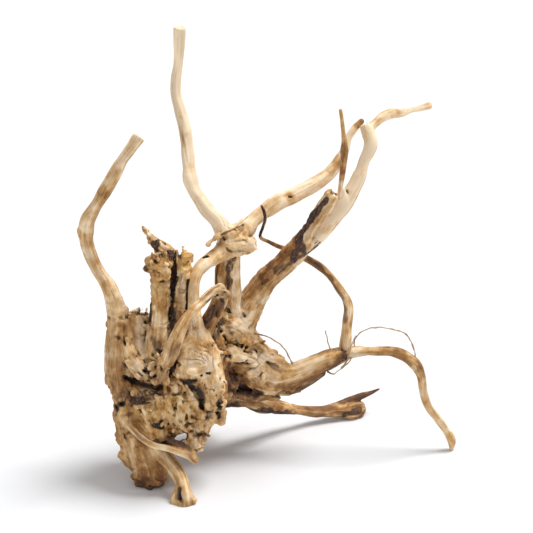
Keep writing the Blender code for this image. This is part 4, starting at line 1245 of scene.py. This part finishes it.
# Places seen in the photograph, for each kind: the pixels it follows, radius in mm and amount.
MARKS = {
    "rootstock": {
        "smooth": [
            ([(118, 350)], 30, 0.4), ([(190, 345)], 16, 0.5), ([(147, 460)], 16, 0.5),
            ([(215, 368)], 9, 0.4),
        ],
        "rough": [
            ([(175, 405)], 24, 0.6), ([(210, 402)], 16, 0.7), ([(140, 400)], 18, 0.5),
            ([(240, 370)], 26, 0.7), ([(190, 435)], 18, 0.6), ([(148, 372), (164, 374)], 8, 1.0),
            ([(126, 315), (146, 314)], 6, 0.6), ([(138, 482), (158, 486)], 8, 0.5),
            ([(119, 440), (124, 462)], 6, 0.6), ([(126, 336), (132, 358), (142, 374)], 7, 0.6),
        ],
        "pale": [
            ([(185, 366), (205, 368)], 8, 0.6), ([(215, 360), (220, 390)], 6, 0.4),
            ([(238, 354), (258, 362)], 8, 0.8), ([(132, 440), (135, 476)], 3, 0.8),
            ([(250, 314), (236, 326), (216, 338)], 2.2, 0.9), ([(205, 320), (192, 330)], 6, 0.3),
            ([(137, 330), (145, 345)], 5, 0.4),
        ],
        # Painted shade: these dark marks lie in crevices, clefts, hollows and on undersides.
        "dark": [
            ([(152, 332), (158, 340), (166, 350)], 5, 0.4), ([(228, 376), (262, 386)], 9, 0.7),
            ([(128, 380), (145, 384), (160, 386)], 6, 0.9), ([(172, 320), (173, 345)], 4, 0.9),
            ([(140, 486), (165, 488)], 7, 0.7), ([(118, 324), (124, 326)], 3, 0.7),
            ([(199, 388), (203, 410)], 4, 0.9), ([(182, 380), (196, 382)], 4, 0.7),
        ],
        "bark_and_shade": [
            ([(124, 396), (138, 396), (156, 393)], 8, 0.42), ([(126, 404), (140, 402)], 4, 0.3),
            ([(228, 366), (232, 378), (246, 386)], 7, 0.34), ([(262, 392), (245, 391)], 6, 0.4),
            ([(184, 433), (200, 434)], 5, 0.4), ([(158, 443), (174, 445)], 6, 0.5),
            ([(212, 331), (222, 322)], 5, 0.5), ([(150, 487), (164, 487)], 4, 0.35),
            ([(176, 352), (172, 372)], 3, 0.4), ([(140, 420), (128, 414)], 4, 0.25),
        ],
        "painted_shade": [
            ([(128, 378), (136, 382), (146, 386), (158, 387)], 4.0, 1.0),
            ([(190, 385), (197, 391), (202, 400), (202, 408)], 3.6, 1.0),
            ([(218, 402), (219, 407)], 2.8, 1.0), ([(218, 412), (219, 417)], 2.4, 1.0),
            ([(172, 322), (172, 345)], 2.4, 0.9), ([(160, 444), (172, 445)], 3.6, 0.8),
            ([(176, 356), (173, 370)], 2.8, 0.9), ([(186, 382), (194, 382)], 2.6, 0.8),
            ([(230, 390), (262, 393)], 3.0, 0.9), ([(214, 340), (219, 332)], 3.0, 0.8),
            ([(152, 338), (160, 348)], 3.4, 0.6), ([(140, 489), (164, 490)], 3.0, 0.7),
            ([(233, 378), (237, 381)], 2.6, 0.9), ([(155, 426), (162, 428)], 2.6, 0.9),
            ([(148, 314), (132, 312)], 1.4, 0.6), ([(118, 404), (118, 411)], 2.0, 0.9),
            ([(207, 373), (210, 373)], 1.5, 1.0),
        ],
        "golden": [([(165, 398), (188, 404)], 14, 0.6), ([(140, 424), (160, 430)], 9, 0.5)],
        "wrinkled": [([(186, 352), (200, 352)], 10, 1.0)],
    },
    "broken_stump": {
        "painted_shade": [
            ([(176, 274), (174, 286), (172, 318)], 3.2, 1.0), ([(150, 305), (149, 323)], 2.4, 0.9),
            ([(188, 281), (187, 308)], 2.0, 0.9),
        ],
        "bark_and_shade": [
            ([(174, 258), (176, 280)], 4, 0.5),
            ([(153, 245), (157, 250), (163, 253), (171, 255)], 4.0, 0.8), ([(145, 268)], 2.5, 0.4),
            ([(173, 285), (172, 318)], 2, 0.5),
        ],
        # Painted shade: these dark marks lie on the shaded lower stump, its cleft and its groove.
        "dark": [
            ([(160, 305), (158, 325)], 8, 0.6), ([(175, 300), (176, 325)], 5, 0.6),
            ([(151, 303), (150, 325)], 2, 0.9),
        ],
        "golden": [([(160, 262), (160, 296)], 8, 0.9), ([(184, 256), (188, 268)], 6, 0.8)],
        "pale": [([(184, 275), (183, 300)], 5, 0.4), ([(148, 234), (168, 249)], 2, 0.8)],
        "rough": [([(160, 272)], 10, 0.4), ([(186, 258)], 8, 0.5)],
        "smooth": [([(160, 315)], 12, 0.4)],
    },
    "right_root": {
        # Painted shade along the right root's underside.
        "dark": [
            ([(370, 351), (385, 352), (421, 362), (440, 412)], 8, 0.75),
            ([(280, 388), (300, 384), (320, 374), (345, 356)], 5, 1.0),
        ],
        "bark_and_shade": [
            ([(418, 360), (423, 366)], 4, 0.35),
            ([(278, 393), (292, 393), (306, 387), (320, 378), (333, 368), (344, 359)], 3.6, 0.45),
            ([(380, 353), (392, 353)], 3, 0.2), ([(343, 350), (348, 358)], 3, 0.4),
        ],
        "painted_shade": [([(284, 394), (300, 391), (318, 381)], 1.6, 0.6)],
        # Painted highlight: the right root's top is paler.
        "pale": [([(290, 366), (320, 360)], 7, 0.5), ([(358, 348), (375, 349)], 5, 0.5)],
        "golden": [([(285, 372), (335, 355)], 6, 0.5)],
    },
    "low_root": {
        "bark_and_shade": [([(228, 406), (255, 410), (290, 414)], 4, 0.5), ([(345, 414), (360, 410)], 3, 0.4)],
        "pale": [([(320, 404), (345, 404)], 4, 0.8), ([(235, 397), (265, 400)], 3, 0.6)],
        "dark": [([(340, 402), (362, 396)], 3, 0.7)],
    },
    "loop_branch": {
        "painted_shade": [([(310, 259), (321, 267), (332, 281), (341, 296), (345, 310), (345, 322)], 2.2, 0.65)],
        # Painted shade: the first dark mark runs along the loop branch's lower left edge.
        "dark": [([(308, 258), (330, 279), (344, 308)], 3.5, 0.5), ([(262, 236), (280, 247)], 3, 0.6)],
        "bark_and_shade": [([(263, 208), (264, 222), (260, 235)], 2.5, 0.6)],
        "pale": [([(346, 300), (347, 345)], 5, 0.5)],
    },
    "upper_arm": {
        "dark": [
            ([(358, 124), (361, 121)], 4, 1.2), ([(330, 170), (338, 160)], 5, 0.7),
            ([(290, 197)], 4, 0.6), ([(300, 204), (322, 188)], 3, 0.3),
        ],
    },
    "left_branch": {
        "dark": [
            ([(100, 200), (106, 192)], 6, 0.7), ([(82, 236), (88, 246)], 5, 0.6),
            ([(104, 285), (112, 300)], 5, 0.5),
        ],
    },
    "tall_branch": {
        "dark": [([(171, 76)], 5, 0.3), ([(192, 167)], 6, 0.4), ([(179, 112), (185, 160)], 2.5, 0.4)],
    },
    "smooth_arm": {"golden": [([(350, 168), (357, 160)], 6, 0.4)]},
    "upright_twig": {
        "dark": [([(342, 140), (343, 165)], 8, 0.6)],
        "pale": [([(343, 185), (343, 205)], 5, 0.8)],
    },
    "strap_root": {
        # Painted shade in the hollow between the strap's return and the post.
        "dark": [([(220, 304), (207, 326)], 6, 0.8)],
        "bark_and_shade": [([(213, 306), (206, 322)], 2.5, 0.4)],
        "pale": [([(200, 303), (222, 291)], 3, 0.4)],
        "rough": [([(222, 292)], 7, 0.8)],
    },
    "diagonal_trunk": {
        "bark_and_shade": [
            ([(327, 200), (319, 208), (312, 217), (304, 228), (299, 238)], 3.4, 0.75),
            ([(298, 236), (300, 250), (292, 258)], 4.5, 0.5),
            ([(318, 243), (310, 252), (300, 257), (289, 264), (276, 272)], 4.2, 0.42),
        ],
        "dark": [([(296, 244), (285, 254), (274, 264), (264, 276)], 5, 0.8)],
        "pale": [([(333, 195)], 4, 0.8), ([(268, 297), (258, 306), (250, 314)], 2, 0.8)],
        "golden": [([(300, 226), (262, 268)], 4, 0.6)],
    },
    "post": {
        "bark_and_shade": [
            ([(231, 256), (229, 272), (228, 288)], 3.8, 0.5), ([(221, 272), (221, 284)], 3, 0.2),
            ([(221, 300), (219, 318)], 4, 0.35),
        ],
        "dark": [([(220, 262), (222, 292)], 5, 0.3)],
        "pale": [([(220, 278), (222, 285)], 2.5, 0.9)],
    },
    "riser": {"painted_shade": [([(204, 258), (208, 257)], 1.2, 1.0)]},
    "knuckle": {
        "painted_shade": [([(204, 258), (208, 257)], 1.6, 1.0), ([(221, 235), (232, 230), (243, 225)], 1.2, 0.8)],
        "dark": [([(224, 238)], 3, 0.7)],
    },
    "front_foot": {
        "painted_shade": [([(180, 489), (180, 498)], 1.8, 0.9)],
        # Painted shade where the front foot meets the floor.
        "dark": [([(172, 503), (192, 503)], 3, 0.5)],
    },
}

# Ridges and hollows laid on the wood under the photograph's pixels: what, the softness of its edge
# in mm, how deep it is sunk as a share of its radius, and pixels with a radius in mm.
DETAILS = {
    "rootstock": [
        ("hollow", 1.2, 1.1, [(123, 376, 1.0), (130, 379, 2.8), (139, 384, 3.8), (150, 387, 4.2),
                              (161, 386, 3.0)]),
        ("hollow", 1.0, 0.9, [(181, 350, 1.2), (178, 358, 2.2), (175, 366, 2.6), (171, 374, 1.8)]),
        ("hollow", 1.0, 1.3, [(189, 384, 1.6), (196, 391, 3.0), (201, 400, 3.4), (202, 410, 2.2)]),
        ("hollow", 0.8, 0.8, [(207, 373, 1.1), (209, 373, 1.1)]),
        ("hollow", 0.8, 1.5, [(219, 399, 2.0), (220, 405, 2.2)]),
        ("hollow", 0.8, 1.5, [(218, 411, 1.8), (218, 417, 1.6)]),
        ("hollow", 1.0, 0.5, [(149, 420, 0.8), (155, 425, 1.8), (163, 427, 1.2)]),
        ("hollow", 0.8, 0.6, [(173, 394, 1.4), (178, 394, 1.4)]),
        ("hollow", 1.0, 0.6, [(116, 406, 1.8), (118, 410, 1.6)]),
        ("hollow", 2.0, 0.7, [(156, 444, 2.2), (166, 445, 3.6), (176, 444, 3.2)]),
        ("hollow", 1.0, 0.6, [(170, 318, 1.4), (170, 330, 1.8), (171, 346, 2.2)]),
        ("rope", 0.8, 0.0, [(250, 314, 1.4), (243, 320, 1.5), (236, 326, 1.6), (225, 332, 1.4),
                            (215, 338, 1.1)]),
        ("rope", 0.6, 0.0, [(222, 345, 1.0), (229, 348, 1.1), (236, 352, 0.9)]),
        ("hollow", 1.0, 0.5, [(115, 336, 0.8), (119, 338, 1.2)]),
        ("rope", 2.0, 0.2, [(181, 368, 1.6), (190, 372, 2.6), (200, 371, 2.4)]),
        ("hollow", 1.0, 0.6, [(180, 379, 1.0), (187, 381, 1.8), (196, 380, 1.0)]),
        ("rope", 1.2, 0.2, [(126, 338, 0.8), (129, 350, 1.3), (135, 364, 1.2), (146, 377, 1.4)]),
        ("rope", 1.2, 0.2, [(157, 352, 0.8), (160, 361, 1.2), (165, 370, 1.2)]),
        ("hollow", 0.8, 0.6, [(153, 355, 1.0), (156, 360, 1.6)]),
        ("rope", 1.4, 0.3, [(250, 297, 1.2), (256, 305, 1.6), (263, 314, 1.6), (270, 326, 1.4)]),
        ("rope", 1.2, 0.3, [(242, 345, 1.4), (230, 352, 1.6), (218, 352, 1.2)]),
        ("hollow", 1.0, 0.7, [(233, 378, 1.8), (237, 380, 1.6)]),
        ("hollow", 1.0, 0.7, [(213, 324, 1.2), (213, 330, 1.8), (212, 337, 1.2)]),
        ("hollow", 1.0, 0.7, [(243, 313, 1.2), (245, 316, 1.4)]),
        ("rope", 1.4, 0.2, [(131, 440, 1.0), (134, 455, 1.6), (140, 474, 1.6)]),
    ],
    "broken_stump": [
        ("hollow", 1.0, 0.8, [(174, 258, 2.0), (176, 270, 3.4), (176, 282, 3.0), (173, 292, 1.4),
                              (171, 306, 1.5), (170, 322, 1.4)]),
        ("rope", 0.8, 0.2, [(153, 287, 0.7), (158, 297, 1.0), (161, 302, 0.9), (165, 296, 0.6)]),
        ("hollow", 0.8, 0.5, [(151, 303, 1.0), (151, 322, 1.6)]),
        ("hollow", 0.8, 0.6, [(188, 280, 1.0), (187, 300, 1.2), (186, 312, 1.2)]),
    ],
    "knuckle": [
        ("hollow", 0.6, 0.6, [(204, 258, 1.5), (208, 257, 1.6)]),
        ("hollow", 0.6, 0.4, [(221, 235, 0.5), (232, 230, 0.8), (243, 225, 0.8), (252, 217, 0.6)]),
        ("hollow", 0.6, 0.4, [(223, 237, 0.8), (224, 239, 0.8)]),
        ("hollow", 0.6, 0.3, [(226, 248, 0.6), (232, 252, 0.9), (240, 252, 0.7)]),
    ],
    "diagonal_trunk": [
        ("hollow", 0.8, 0.4, [(262, 283, 0.8), (268, 280, 1.0)]),
        ("rope", 0.8, 0.0, [(268, 297, 1.2), (260, 304, 1.5), (250, 314, 1.5)]),
    ],
    "riser": [("hollow", 0.6, 0.9, [(204, 258, 1.5), (208, 257, 1.6)])],
    "upper_arm": [("hollow", 0.6, 0.6, [(289, 197, 0.9), (291, 197, 0.9)]),
                  ("rope", 1.0, 0.4, [(301, 199, 1.6), (305, 202, 0.9)])],
    "tall_branch": [("rope", 1.2, 0.5, [(169, 77, 1.6), (172, 76, 1.6)]),
                    ("hollow", 0.8, 0.3, [(178, 118, 0.4), (183, 140, 0.9), (187, 163, 0.4)])],
    "left_branch": [("rope", 1.4, 0.4, [(79, 230, 1.8), (81, 237, 1.8)]),
                    ("hollow", 0.8, 0.3, [(116, 312, 0.8), (121, 322, 1.0)])],
    "front_foot": [("hollow", 0.8, 0.2, [(181, 487, 0.4), (180, 494, 1.2), (181, 501, 2.0)])],
    "strap_root": [("rope", 0.8, 0.3, [(201, 299, 1.2), (212, 291, 1.8), (224, 289, 1.4)]),
                   ("rope", 0.8, 0.3, [(212, 288, 0.9), (220, 286, 1.3), (227, 293, 0.8)]),
                   ("hollow", 0.8, 0.4, [(205, 303, 0.7), (214, 297, 1.2), (223, 299, 0.8)]),
                   ("hollow", 0.8, 0.4, [(214, 305, 0.7), (211, 318, 1.1), (208, 328, 0.7)])],
}

main()
